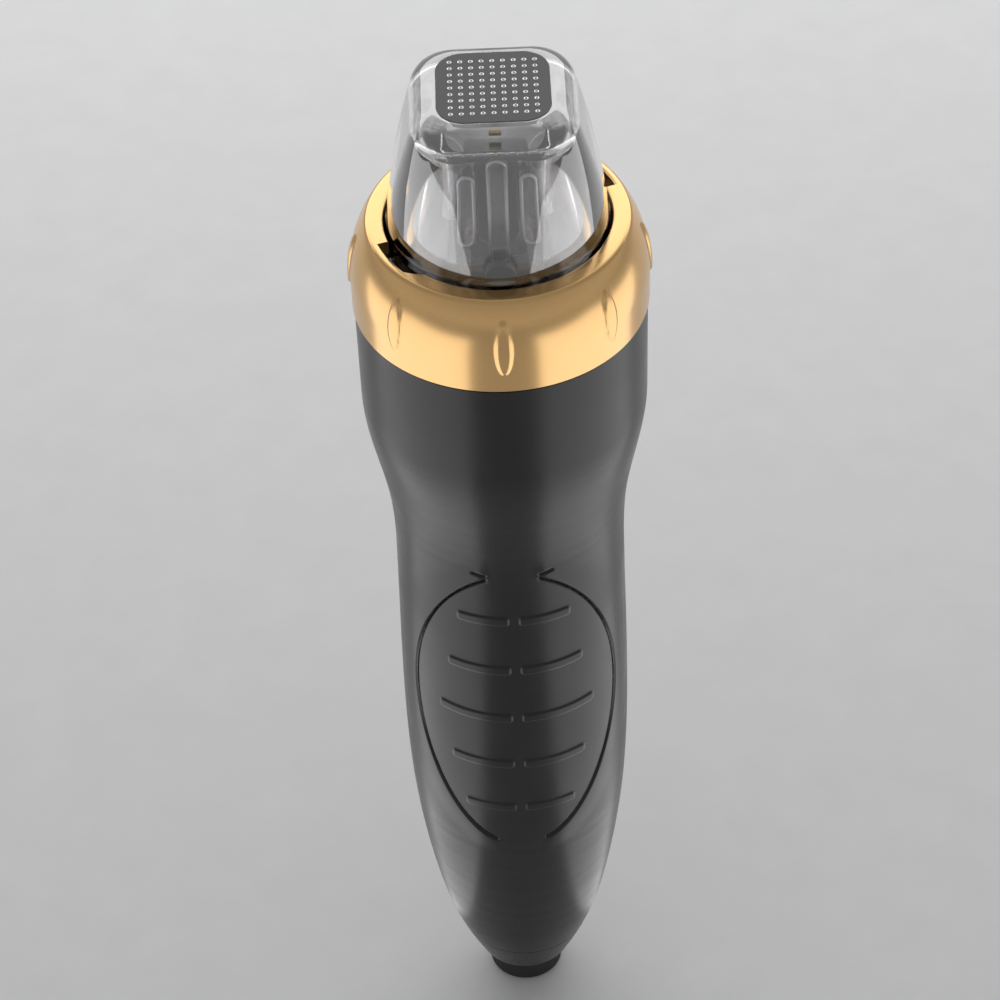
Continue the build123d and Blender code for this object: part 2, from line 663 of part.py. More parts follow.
# Nose socket
with BuildPart() as nose_socket:
    with BuildSketch(Plane.XZ):
        with BuildLine():
            Polyline(
                (SKIRT_R + RUN_GAP, SOCKET_TOP_Z),
                (SOCKET_R, SOCKET_TOP_Z),
                (SOCKET_R, LEDGE_Z - SEAT_GAP),
                (FLANGE_R, LEDGE_Z - SEAT_GAP),
                (FLANGE_R, FLANGE_Z),
                (SOCKET_THROAT_R, FLANGE_Z),
                (SOCKET_THROAT_R, FLOOR_UNDER_Z),
                (SEAL_R, FLOOR_UNDER_Z),
                (SEAL_R, FLOOR_Z),
                (SKIRT_R + RUN_GAP, FLOOR_Z),
                close=True,
            )
        make_face()
    revolve(axis=Axis.Z)
    with BuildSketch(Plane.XY.offset(RIM_Z - RETAINER_DROP - RETAINER_H / 2 - SEAT_GAP)):
        Circle(FLANGE_R)
        Circle(RETAINER_IN_R - SEAT_GAP, mode=Mode.SUBTRACT)
    extrude(amount=RETAINER_H + 2 * SEAT_GAP, mode=Mode.SUBTRACT)
    with Locations((0, 0, RIM_Z - ORING_DROP)):
        Torus(SKIRT_R + RUN_GAP + ORING_R, ORING_R + 2 * SEAT_GAP, mode=Mode.SUBTRACT)
    with Locations((0, 0, FLOOR_Z)):
        with PolarLocations(CONTACT_PITCH_R, CONTACT_PINS, start_angle=CONTACT_START):
            Hole(CONTACT_PIN_R + SEAT_GAP)
    with Locations((0, 0, FLANGE_Z)):
        with PolarLocations(FLANGE_SCREW_R, FLANGE_SCREWS, start_angle=-90):
            Cylinder(
                SMALL_SCREW_R + SEAT_GAP,
                FLANGE_H - FLANGE_SCREW_TOP,
                align=BASE,
                mode=Mode.SUBTRACT,
            )

with BuildPart() as socket_oring:
    with Locations((0, 0, RIM_Z - ORING_DROP)):
        Torus(SKIRT_R + RUN_GAP + ORING_R, ORING_R)

with BuildPart() as rod_seal:
    with Locations((0, 0, FLOOR_UNDER_Z)):
        Cylinder(SEAL_R, FLOOR_H, align=BASE)
        Hole(PUSH_R + RUN_GAP)

with BuildPart() as ring_retainer:
    with Locations((0, 0, RIM_Z - RETAINER_DROP)):
        Cylinder(RETAINER_OUT_R, RETAINER_H)
        Hole(RETAINER_IN_R)
        Box(
            2 * RETAINER_OUT_R,
            RETAINER_MOUTH,
            RETAINER_H,
            align=(Align.MIN, Align.CENTER, Align.CENTER),
            mode=Mode.SUBTRACT,
        )

# Contact board and its spring pins
with BuildPart() as contact_board:
    with Locations((0, 0, FLOOR_UNDER_Z - BOARD_H)):
        Cylinder(CONTACT_BOARD_R, BOARD_H, align=BASE)
        Hole(CONTACT_BOARD_BORE)

with BuildPart() as contact_pins:
    with Locations((0, 0, FLOOR_UNDER_Z)):
        with PolarLocations(CONTACT_PITCH_R, CONTACT_PINS, start_angle=CONTACT_START):
            Cylinder(CONTACT_PIN_R, BASE_Z - TRAVEL_GAP - FLOOR_UNDER_Z, align=BASE)
    fillet(contact_pins.edges().group_by(Axis.Z)[-1], CONTACT_PIN_R / 2)

# Clear dome: rounded square above, round at the ring
with BuildPart() as cartridge_dome:
    for level, spread, corner in zip(DOME_LEVELS, DOME_SPREAD, DOME_CORNER):
        half = DOME_TOP_HALF + spread * (DOME_FOOT_HALF - DOME_TOP_HALF)
        with BuildSketch(Plane.XY.offset(RIM_Z + level)):
            RectangleRounded(2 * half, 2 * half, corner * half)
    loft()
    fillet(cartridge_dome.faces().sort_by(Axis.Z)[-1].edges(), DOME_ROUND)
    with Locations((0, 0, RIM_Z - SKIRT_DROP)):
        Cylinder(SKIRT_R, SKIRT_DROP + DOME_LEVELS[-1], align=BASE)
with BuildPart() as dome_cavity:
    for level, spread, corner in zip(CAVITY_LEVELS, CAVITY_SPREAD, CAVITY_CORNER):
        half = CAVITY_TOP_HALF + spread * (CAVITY_FOOT_HALF - CAVITY_TOP_HALF)
        with BuildSketch(Plane.XY.offset(RIM_Z + level)):
            RectangleRounded(2 * half, 2 * half, corner * half)
    loft()
with BuildPart() as cartridge_shell:
    add(cartridge_dome.part)
    add(dome_cavity.part, mode=Mode.SUBTRACT)
    with BuildSketch(Plane.XY.offset(DOME_TOP_Z)):
        RectangleRounded(2 * WINDOW_HALF, 2 * WINDOW_HALF, PLATE_CORNER - PLATE_SEAT)
    extrude(amount=-DOME_LEVELS[0] / 2, mode=Mode.SUBTRACT)
    with BuildSketch(Plane.XY.offset(DOME_TOP_Z)):
        RectangleRounded(PLATE_SIZE + 2 * SEAT_GAP, PLATE_SIZE + 2 * SEAT_GAP, PLATE_CORNER + SEAT_GAP)
    extrude(amount=-(PLATE_H - PLATE_PROUD), mode=Mode.SUBTRACT)
    with Locations((0, -STRIP_Y, DOME_TOP_Z - STRIP_DROP)):
        Box(STRIP_W + 2 * SEAT_GAP, STRIP_D + 2 * SEAT_GAP, STRIP_H + 2 * SEAT_GAP, mode=Mode.SUBTRACT)
    with Locations(Plane(origin=(0, -SKIRT_R, RIM_Z + KEY_LIFT), z_dir=(0, 1, 0))):
        Cylinder(KEY_R + SEAT_GAP, KEY_PROUD + KEY_LEN, align=BASE, mode=Mode.SUBTRACT)

# Grey face plate with a hole for each needle
with BuildPart() as face_plate:
    with BuildSketch(Plane.XY.offset(DOME_TOP_Z + PLATE_PROUD - PLATE_H)):
        RectangleRounded(PLATE_SIZE, PLATE_SIZE, PLATE_CORNER)
        with GridLocations(NEEDLE_PITCH, NEEDLE_PITCH, NEEDLE_ROWS, NEEDLE_ROWS):
            Circle(NEEDLE_HOLE_R, mode=Mode.SUBTRACT)
    extrude(amount=PLATE_H)

# Gold contact strip set in the dome's top
with BuildPart() as contact_strip:
    with Locations((0, -STRIP_Y, DOME_TOP_Z - STRIP_DROP)):
        Box(STRIP_W, STRIP_D, STRIP_H)

# Dark alignment key in the skirt's front
with BuildPart() as alignment_key:
    with Locations(Plane(origin=(0, KEY_PROUD - SKIRT_R, RIM_Z + KEY_LIFT), z_dir=(0, 1, 0))):
        Cylinder(KEY_R, KEY_LEN, align=BASE)

# Cartridge base: lid, wall, floor and two bayonet lugs
with BuildPart() as cartridge_base:
    with Locations((0, 0, BASE_Z)):
        Cylinder(SKIRT_R, BASE_DROP - SKIRT_DROP, align=BASE)
    with Locations((0, 0, BASE_Z + BASE_FLOOR)):
        Cylinder(
            SKIRT_R - BASE_WALL,
            BASE_DROP - SKIRT_DROP - BASE_LID - BASE_FLOOR,
            align=BASE,
            mode=Mode.SUBTRACT,
        )
    with Locations((0, 0, RIM_Z - SKIRT_DROP)):
        Hole(STEM_R + RUN_GAP, depth=BASE_DROP / 2)
    with Locations((0, 0, BASE_Z)):
        Cylinder(PUSH_R + 2 * FREE_GAP, BASE_FLOOR, align=BASE, mode=Mode.SUBTRACT)
    for turn in range(LUGS):
        with BuildSketch(radial_plane(LUG_MID - LUG_ARC / 2 + 360.0 / LUGS * turn)):
            with Locations((LUG_R, RIM_Z - LUG_DROP)):
                Rectangle(LUG_REACH + LUG_ROOT, LUG_H, align=(Align.MAX, Align.MAX))
        revolve(axis=Axis.Z, revolution_arc=LUG_ARC)
    with Locations((0, 0, BASE_Z)):
        with PolarLocations(CONTACT_PITCH_R, CONTACT_PINS, start_angle=CONTACT_START):
            Cylinder(PAD_R, PAD_H, align=BASE, mode=Mode.SUBTRACT)
    with Locations((0, 0, RIM_Z - SKIRT_DROP)):
        with GridLocations(2 * SLEEVE_X, 2 * SLEEVE_Y, 2, 2):
            Hole(POST_R, depth=BASE_LID)

with BuildPart() as cartridge_contacts:
    with Locations((0, 0, BASE_Z)):
        with PolarLocations(CONTACT_PITCH_R, CONTACT_PINS, start_angle=CONTACT_START):
            Cylinder(PAD_R, PAD_H, align=BASE)

# Four posts that guide the needle carrier
with BuildPart() as guide_posts:
    with Locations((0, 0, RIM_Z - SKIRT_DROP - BASE_LID)):
        with GridLocations(2 * SLEEVE_X, 2 * SLEEVE_Y, 2, 2):
            Cylinder(POST_R, CARRIER_Z - NEEDLE_IN - POST_SPARE - RIM_Z + SKIRT_DROP + BASE_LID, align=BASE)
    fillet(guide_posts.edges().group_by(Axis.Z)[-1], POST_R / 2)

# Three clear upright rails behind the dome's front
with BuildPart() as guide_rails:
    with BuildSketch(Plane.XZ.offset(RAIL_Y - RAIL_DEPTH / 2)):
        with Locations((0, RIM_Z + (RAIL_MID_LOW + RAIL_MID_HIGH) / 2)):
            SlotOverall(RAIL_MID_HIGH - RAIL_MID_LOW, RAIL_MID_W, rotation=90)
        for side in (-1, 1):
            with Locations((side * RAIL_SIDE_X, RIM_Z + (RAIL_SIDE_LOW + RAIL_SIDE_HIGH) / 2)):
                SlotOverall(RAIL_SIDE_HIGH - RAIL_SIDE_LOW, RAIL_SIDE_W, rotation=90)
    extrude(amount=RAIL_DEPTH)
    fillet(guide_rails.edges().group_by(Axis.Y)[0], RAIL_ROUND)
    with Locations((0, -RAIL_Y, RIM_Z - SKIRT_DROP)):
        Box(2 * RAIL_SIDE_X + RAIL_SIDE_W, RAIL_DEPTH, RAIL_BAR, align=BASE)
        with Locations((-RAIL_SIDE_X, 0, 0), (RAIL_SIDE_X, 0, 0)):
            Box(RAIL_SIDE_W / 2, RAIL_DEPTH, RAIL_SIDE_LOW + SKIRT_DROP + RAIL_SIDE_W / 2, align=BASE)

# Needle carrier: plate, dark stem and the disc that the return spring pushes on
with BuildPart() as needle_carrier:
    with BuildSketch(Plane.XY.offset(CARRIER_Z)):
        RectangleRounded(CARRIER_SIZE, CARRIER_SIZE, CARRIER_CORNER)
    extrude(amount=CARRIER_H)
    with Locations((0, 0, STEM_Z)):
        Cylinder(STEM_R, CARRIER_Z - STEM_Z, align=BASE)
        Cylinder(STEM_DISC_R, STEM_DISC_H, align=BASE)

# Clear sleeves that hang from the carrier and slide on the posts
with BuildPart() as carrier_sleeves:
    with Locations((0, 0, CARRIER_Z)):
        with GridLocations(2 * SLEEVE_X, 2 * SLEEVE_Y, 2, 2):
            Cylinder(SLEEVE_R, SLEEVE_LEN, align=HANGING)
            Hole(POST_R + RUN_GAP)

# The needles: one solid each, a round shaft with a pointed tip
with BuildPart() as needles:
    needle_low = CARRIER_Z + CARRIER_H
    needle_top = DOME_TOP_Z + PLATE_PROUD + NEEDLE_PROUD
    with BuildSketch(Plane.XZ):
        with BuildLine():
            Polyline(
                (0, needle_low),
                (NEEDLE_R, needle_low),
                (NEEDLE_R, needle_top - NEEDLE_POINT),
                (0, needle_top),
                close=True,
            )
        make_face()
    revolve(axis=Axis.Z)
with BuildPart() as needle_field:
    with GridLocations(NEEDLE_PITCH, NEEDLE_PITCH, NEEDLE_ROWS, NEEDLE_ROWS):
        add(needles.part)

# Return spring between the base's lid and the stem's disc
with BuildPart() as cartridge_spring:
    spring_low = STEM_Z + STEM_DISC_H + SPRING_WIRE_R + SEAT_GAP
    spring_high = RIM_Z - SKIRT_DROP - BASE_LID - SPRING_WIRE_R - SEAT_GAP
    with BuildLine():
        coil = Helix(
            pitch=(spring_high - spring_low) / SPRING_TURNS,
            height=spring_high - spring_low,
            radius=SPRING_R,
            center=(0, 0, spring_low),
        )
    with BuildSketch(Plane(origin=coil @ 0, z_dir=coil % 0)):
        Circle(SPRING_WIRE_R)
    sweep(path=coil, is_frenet=True)

# Plates of the drive, with the rods between them
with BuildPart() as top_plate:
    with Locations((0, 0, TOP_PLATE_Z)):
        Cylinder(TOP_PLATE_R, TOP_PLATE_H, align=BASE)
        Hole(BUSH_R)
    with Locations((-ROD_X, 0, TOP_PLATE_Z), (ROD_X, 0, TOP_PLATE_Z)):
        Cylinder(ROD_R, ROD_SEAT, align=BASE, mode=Mode.SUBTRACT)
    with Locations((-LEAD_X, LEAD_Y, FLANGE_Z), (LEAD_X, LEAD_Y, FLANGE_Z)):
        Hole(LEAD_HOLE_R)
    with Locations((0, 0, FLANGE_Z)):
        with PolarLocations(FLANGE_SCREW_R, FLANGE_SCREWS, start_angle=-90):
            Hole(SMALL_SCREW_R + SEAT_GAP)

with BuildPart() as base_plate:
    with Locations((0, 0, DRIVE_FOOT_Z)):
        Cylinder(BASE_PLATE_R, BASE_PLATE_H, align=BASE)
        Hole(BEARING_R)
    with Locations((0, BASE_PLATE_FLAT, DRIVE_FOOT_Z)):
        Box(
            2 * BASE_PLATE_R,
            BASE_PLATE_R,
            BASE_PLATE_H,
            align=(Align.CENTER, Align.MIN, Align.MIN),
            mode=Mode.SUBTRACT,
        )
    with Locations((-ROD_X, 0, BASE_PLATE_Z), (ROD_X, 0, BASE_PLATE_Z)):
        Hole(ROD_R, depth=ROD_SEAT)
    with Locations(*[spot(PLATE_SCREW_R, azimuth, BASE_PLATE_Z) for azimuth in PLATE_SCREWS]):
        Hole(SMALL_SCREW_R + SEAT_GAP)

with BuildPart() as guide_rods:
    with Locations((-ROD_X, 0, BASE_PLATE_Z - ROD_SEAT), (ROD_X, 0, BASE_PLATE_Z - ROD_SEAT)):
        Cylinder(ROD_R, DRIVE_SPACE + 2 * ROD_SEAT, align=BASE)

with BuildPart() as rod_bushing:
    with Locations((0, 0, TOP_PLATE_Z - BUSH_FLANGE_H)):
        Cylinder(BUSH_FLANGE_R, BUSH_FLANGE_H, align=BASE)
        Cylinder(BUSH_R, BUSH_FLANGE_H + TOP_PLATE_H, align=BASE)
        Hole(PUSH_R + RUN_GAP)

with BuildPart() as screw_bearing:
    with Locations((0, 0, DRIVE_FOOT_Z)):
        Cylinder(BEARING_R, BASE_PLATE_H, align=BASE)
        Hole(SCREW_R + RUN_GAP)

# Carriage with the hollow push rod, driven by the lead screw
with BuildPart() as push_carriage:
    with Locations((0, 0, CARRIAGE_Z - CARRIAGE_H)):
        Box(2 * CARRIAGE_HALF_X, 2 * CARRIAGE_HALF_Y, CARRIAGE_H, align=BASE)
    fillet(push_carriage.edges().filter_by(Axis.Z), CARRIAGE_ROUND)
    with Locations((0, 0, CARRIAGE_Z)):
        Cylinder(PUSH_R, PUSH_TOP_Z - CARRIAGE_Z, align=BASE)
        Cylinder(PUSH_BORE_R, PUSH_BORE_H, align=BASE, mode=Mode.SUBTRACT)
    with Locations((0, 0, CARRIAGE_Z)):
        Hole(SCREW_R + RUN_GAP, depth=CARRIAGE_H)
    with Locations((-ROD_X, 0, CARRIAGE_Z), (ROD_X, 0, CARRIAGE_Z)):
        Hole(ROD_R + RUN_GAP)

# Lead screw on the motor's shaft
with BuildPart() as lead_screw:
    with Locations((0, 0, DRIVE_FOOT_Z)):
        Cylinder(SCREW_R, CARRIAGE_Z - CARRIAGE_H + SCREW_TOP - DRIVE_FOOT_Z, align=BASE)
    chamfer(lead_screw.edges().group_by(Axis.Z)[-1], SCREW_POINT)
    with Locations((0, 0, BASE_PLATE_Z + SEAT_GAP)):
        Cylinder(HUB_R, HUB_H, align=BASE)
    with Locations((0, HUB_R, BASE_PLATE_Z + SEAT_GAP)):
        Cylinder(HUB_GROOVE_R, HUB_H, align=BASE, mode=Mode.SUBTRACT)

with BuildPart() as motor_body:
    with Locations((0, 0, MOTOR_Z)):
        Cylinder(MOTOR_R, MOTOR_LEN, align=BASE)
    chamfer(motor_body.edges().group_by(Axis.Z)[0], MOTOR_EDGE)
    with Locations((0, 0, DRIVE_FOOT_Z)):
        Hole(SCREW_R + FREE_GAP, depth=SCREW_HOLE)

with BuildPart() as motor_cap:
    with Locations((0, 0, MOTOR_Z - MOTOR_CAP_LEN)):
        Cylinder(MOTOR_CAP_R, MOTOR_CAP_LEN, align=BASE)
    fillet(motor_cap.edges().group_by(Axis.Z)[0], MOTOR_EDGE)

# Cradle round the motor, with tracks down to the board's foot
with BuildPart() as cradle:
    with Locations((0, 0, MOTOR_Z - MOTOR_CAP_LEN)):
        Cylinder(MOTOR_R + CRADLE_WALL, MOTOR_LEN + MOTOR_CAP_LEN, align=BASE)
    with Locations((0, 0, DRIVE_FOOT_Z - CRADLE_FLANGE_H)):
        Cylinder(CRADLE_FLANGE_R, CRADLE_FLANGE_H, align=BASE)
    track_low = BOARD_FOOT_Z - TRACK_FOOT
    for side in (-1, 1):
        with Locations((side * (TRACK_IN_X + TRACK_OUT_X) / 2, BOARD_Y, track_low)):
            Box(
                TRACK_OUT_X - TRACK_IN_X,
                TRACK_DEPTH,
                DRIVE_FOOT_Z - track_low,
                align=(Align.CENTER, Align.MAX, Align.MIN),
            )
    with Locations((0, 0, MOTOR_Z - MOTOR_CAP_LEN)):
        Cylinder(MOTOR_R + SEAT_GAP, MOTOR_LEN + MOTOR_CAP_LEN, align=BASE, mode=Mode.SUBTRACT)
    with Locations((0, 0, MOTOR_Z - MOTOR_CAP_LEN)):
        Box(
            2 * CRADLE_SLOT,
            2 * MOTOR_R,
            MOTOR_LEN + MOTOR_CAP_LEN,
            align=(Align.CENTER, Align.MIN, Align.MIN),
            mode=Mode.SUBTRACT,
        )
    for web_z in (MOTOR_Z - MOTOR_CAP_LEN - WEB_DROP, track_low):
        with Locations((0, BOARD_Y, web_z)):
            Box(TRACK_IN_X + TRACK_OUT_X, WEB_T, WEB_H, align=(Align.CENTER, Align.MAX, Align.MIN))
    with Locations(*[spot(PLATE_SCREW_R, azimuth, DRIVE_FOOT_Z) for azimuth in PLATE_SCREWS]):
        Hole(SMALL_SCREW_R + SEAT_GAP, depth=CRADLE_FLANGE_H)

# Small screws of the drive: three up into the socket, three down into the cradle
with BuildPart() as drive_screws:
    with Locations((0, 0, TOP_PLATE_Z)):
        with PolarLocations(FLANGE_SCREW_R, FLANGE_SCREWS, start_angle=-90):
            Cylinder(SMALL_SCREW_R, TOP_PLATE_H + FLANGE_H - SMALL_SCREW_SPARE, align=BASE)
            Cylinder(SMALL_HEAD_R, SMALL_HEAD_H, align=HANGING)
    with Locations(*[spot(PLATE_SCREW_R, azimuth, BASE_PLATE_Z) for azimuth in PLATE_SCREWS]):
        Cylinder(SMALL_SCREW_R, BASE_PLATE_H + CRADLE_FLANGE_H - SMALL_SCREW_SPARE, align=HANGING)
        Cylinder(SMALL_HEAD_R, SMALL_HEAD_H, align=BASE)

# Main board, its chips and its plug
with BuildPart() as main_board:
    with Locations((0, BOARD_Y, BOARD_FOOT_Z)):
        Box(2 * BOARD_HALF_W, BOARD_T, BOARD_LEN, align=(Align.CENTER, Align.MIN, Align.MIN))

with BuildPart() as board_chips:
    with Locations((0, BOARD_Y, MOTOR_Z - MOTOR_CAP_LEN - CHIPS_DROP)):
        for chip_x, chip_drop, width, height in CHIPS:
            with Locations((chip_x, 0, -chip_drop)):
                Box(width, CHIP_T, height, align=(Align.CENTER, Align.MAX, Align.CENTER))

with BuildPart() as board_plug:
    with Locations((0, BOARD_Y, BOARD_FOOT_Z)):
        Box(2 * PLUG_HALF_W, PLUG_DEPTH, PLUG_LEN, align=(Align.CENTER, Align.MAX, Align.MIN))

# Cable from the gland to the board's plug
with BuildPart() as inner_cable:
    cable_low = CAP_Z - CAP_TOP + TRAVEL_GAP
    with BuildLine() as cable_line:
        FilletPolyline(
            (0, 0, cable_low),
            (0, 0, cable_low + CABLE_RISE),
            (0, CABLE_Y, BOARD_FOOT_Z - CABLE_DROP),
            (0, CABLE_Y, BOARD_FOOT_Z),
            radius=[CABLE_BEND, CABLE_BEND],
        )
    with BuildSketch(Plane(origin=(0, 0, cable_low), z_dir=(0, 0, 1))):
        Circle(CABLE_R)
    sweep(path=cable_line.line)

with BuildPart() as rf_leads:
    lead_low = BOARD_TOP_Z - LEAD_LAP
    with Locations((-LEAD_X, LEAD_Y, lead_low), (LEAD_X, LEAD_Y, lead_low)):
        Cylinder(LEAD_R, FLOOR_UNDER_Z - BOARD_H - lead_low, align=BASE)

# Bracket between the plates, with the switch board behind it and the sensor in front
with BuildPart() as switch_bracket:
    with Locations((0, BRACKET_Y, BASE_PLATE_Z)):
        Box(2 * BRACKET_HALF_W, BRACKET_T, DRIVE_SPACE, align=(Align.CENTER, Align.MIN, Align.MIN))

with BuildPart() as switch_board:
    with Locations((0, BRACKET_Y + BRACKET_T, TRIGGER_Z)):
        Box(
            2 * (BRACKET_HALF_W - SWITCH_BOARD_EDGE),
            SWITCH_BOARD_T,
            TRIGGER_H,
            align=(Align.CENTER, Align.MIN, Align.CENTER),
        )

with BuildPart() as tact_switch:
    switch_y = BRACKET_Y + BRACKET_T + SWITCH_BOARD_T
    with Locations((0, switch_y, TRIGGER_Z)):
        Box(SWITCH_SIZE, SWITCH_H, SWITCH_SIZE, align=(Align.CENTER, Align.MIN, Align.CENTER))
    with BuildSketch(Plane(origin=(0, switch_y + SWITCH_H, TRIGGER_Z), z_dir=(0, 1, 0))):
        Circle(PLUNGER_R)
    extrude(amount=TRIGGER_BACK_Y - TRIGGER_TRAVEL - TRAVEL_GAP - switch_y - SWITCH_H)

with BuildPart() as home_sensor:
    with Locations((0, BRACKET_Y, BASE_PLATE_Z + SENSOR_LIFT)):
        Box(SENSOR_W, SENSOR_D, SENSOR_H, align=(Align.CENTER, Align.MAX, Align.MIN))

# Trigger: a cap that follows the skin, with a flange behind the wall
with BuildPart() as trigger_button:
    with BuildSketch(Plane.XZ.offset(-HEAD_R)):
        with Locations((0, TRIGGER_Z)):
            SlotOverall(TRIGGER_H, TRIGGER_W, rotation=90)
    extrude(amount=HEAD_R - TRIGGER_BACK_Y)
    add(proud_skin.part, mode=Mode.INTERSECT)
    with BuildSketch(Plane.XZ.offset(-TRIGGER_BACK_Y - TRIGGER_FLANGE_T)):
        with Locations((0, TRIGGER_Z)):
            SlotOverall(TRIGGER_H + 2 * TRIGGER_FLANGE, TRIGGER_W + 2 * TRIGGER_FLANGE, rotation=90)
    extrude(amount=TRIGGER_FLANGE_T)

PIECES = {
    "front_shell": front_shell,
    "rear_shell": rear_shell,
    "shell_screws": shell_screws,
    "tail_cap": tail_cap,
    "cable_gland": cable_gland,
    "lock_ring": gold_ring,
    "nose_socket": nose_socket,
    "socket_oring": socket_oring,
    "rod_seal": rod_seal,
    "ring_retainer": ring_retainer,
    "contact_board": contact_board,
    "contact_pins": contact_pins,
    "cartridge_shell": cartridge_shell,
    "face_plate": face_plate,
    "contact_strip": contact_strip,
    "alignment_key": alignment_key,
    "cartridge_base": cartridge_base,
    "cartridge_contacts": cartridge_contacts,
    "guide_posts": guide_posts,
    "guide_rails": guide_rails,
    "needle_carrier": needle_carrier,
    "carrier_sleeves": carrier_sleeves,
    "needles": needle_field,
    "cartridge_spring": cartridge_spring,
    "top_plate": top_plate,
    "base_plate": base_plate,
    "guide_rods": guide_rods,
    "rod_bushing": rod_bushing,
    "screw_bearing": screw_bearing,
    "push_carriage": push_carriage,
    "lead_screw": lead_screw,
    "motor_body": motor_body,
    "motor_cap": motor_cap,
    "cradle": cradle,
    "drive_screws": drive_screws,
    "main_board": main_board,
    "board_chips": board_chips,
    "board_plug": board_plug,
    "inner_cable": inner_cable,
    "rf_leads": rf_leads,
    "switch_bracket": switch_bracket,
    "switch_board": switch_board,
    "tact_switch": tact_switch,
    "home_sensor": home_sensor,
    "trigger_button": trigger_button,
}
for name, piece in PIECES.items():
    piece.part.label = name
    export_step(piece.part, f"parts/{name}.step")
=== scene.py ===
import json
import math

import bmesh
import bpy
import numpy as np
from mathutils import Matrix, Vector
from mathutils.bvhtree import BVHTree


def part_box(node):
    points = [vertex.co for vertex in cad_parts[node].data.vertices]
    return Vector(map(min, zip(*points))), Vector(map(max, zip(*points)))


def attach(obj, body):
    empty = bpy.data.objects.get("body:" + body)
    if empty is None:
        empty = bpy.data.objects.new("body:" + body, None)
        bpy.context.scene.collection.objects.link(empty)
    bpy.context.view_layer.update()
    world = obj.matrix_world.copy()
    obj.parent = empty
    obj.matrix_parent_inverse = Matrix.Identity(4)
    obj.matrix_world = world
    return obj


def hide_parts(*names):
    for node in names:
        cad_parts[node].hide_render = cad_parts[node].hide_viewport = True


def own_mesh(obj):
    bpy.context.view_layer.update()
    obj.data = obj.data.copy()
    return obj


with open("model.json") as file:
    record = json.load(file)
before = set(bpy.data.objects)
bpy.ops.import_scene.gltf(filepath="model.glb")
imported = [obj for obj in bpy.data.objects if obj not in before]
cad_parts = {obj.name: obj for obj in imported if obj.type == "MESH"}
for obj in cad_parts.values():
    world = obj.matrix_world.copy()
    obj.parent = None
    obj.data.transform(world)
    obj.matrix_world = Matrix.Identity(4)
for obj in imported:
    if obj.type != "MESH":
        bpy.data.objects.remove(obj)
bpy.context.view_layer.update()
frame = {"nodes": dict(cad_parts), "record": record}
nodes = frame["nodes"]

MM = 0.001

# Heights and radii read from the frame
SHELL_LOW, SHELL_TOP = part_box("front_shell")[0].z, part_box("front_shell")[1].z
HEAD_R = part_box("front_shell")[1].x

# Grip pad on the front, in metres and degrees
PAD_Z = 0.0863
PAD_HALF_H = 0.036
PAD_AZIMUTH = 75.0
BAR_ROWS = 5
BAR_PITCH = 0.0111
BAR_HALF_H = 1.0 * MM
BAR_CORNER = 0.6 * MM
BAR_PROUD = 0.28 * MM
BAR_SHOULDER = 0.34 * MM
BAR_REACH = 38.6
BAR_SHRINK = 6.3
BAR_SPLIT = 2.2
CRESCENT_HALF_W = 15.9 * MM
CRESCENT_HALF_H = 32.4 * MM
CRESCENT_OPEN = 4.3 * MM       # half the gap between the crescents' ends
CREASE_DEPTH = 0.5 * MM
CREASE_SIDE = 0.5              # share of the depth at a crescent's middle
CREASE_SIDE_UP = (0.15, 0.6)   # shares of the half height between which the depth grows to full
CREASE_HALF_W = 0.18 * MM
CREASE_END_HALF_W = 0.34 * MM
CREASE_END_REACH = 7 * MM      # along x, over which an end narrows to the rest
CREASE_EDGE = (0.3, 1.25)      # flat bottom and outer edge, as shares of the half width
RIDGE_RISE = 0.22 * MM         # the skin outside a crescent, at the crease
RIDGE_REACH = (0.3 * MM, 4.5 * MM)
RIDGE_FADE = (-1.2 * MM, 1.0 * MM)   # along x, about a crescent's end
HOOK_RISE = 1.1 * MM           # short upper line over a crescent's upper end
HOOK_LEN = 1.7 * MM
HOOK_SLOPE = 0.25
HOOK_DEPTH = 0.7 * CREASE_DEPTH
HOOK_EDGE = (0.1 * MM, 0.4 * MM)

# Lock ring; heights are below the rim
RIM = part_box("lock_ring")[1].z
RING_R = 21.95 * MM
RIM_R = 19.2 * MM
RING_CURVE = 9.5 * MM
RING_HEIGHT = 14.75 * MM
RIM_ROUND = 0.4 * MM
LIP_R = 16.6 * MM
LIP_H = 2.4 * MM
BAY_R = 18.3 * MM
BAY_H = 3.1 * MM
SLEEVE_R = 18.62 * MM
GROOVE_R = 19.37 * MM
GROOVE_TOP, GROOVE_FOOT = 11.2 * MM, 12.8 * MM
NOTCH_R = 18.1 * MM
NOTCHES = (-72.0, -49.0, -40.0)    # start, end and end of the ramp, in degrees, and again half a turn on
OVALS = 8
OVAL_HALF_W, OVAL_HALF_H = 1.35 * MM, 4.6 * MM
OVAL_DROP = 7.1 * MM
OVAL_PROUD = 0.34 * MM
OVAL_SHOULDER = 0.5 * MM
RING_TURN_STEP = 0.6           # degrees between the ring's profiles
NOTCH_EDGE = 0.04              # degrees either side of a notch's corner
FOOT_BEVEL = 0.12 * MM
SIDE_START = 0.4 * MM
SIDE_LEVELS, CURVE_LEVELS, LIP_STEPS = 24, 46, 4

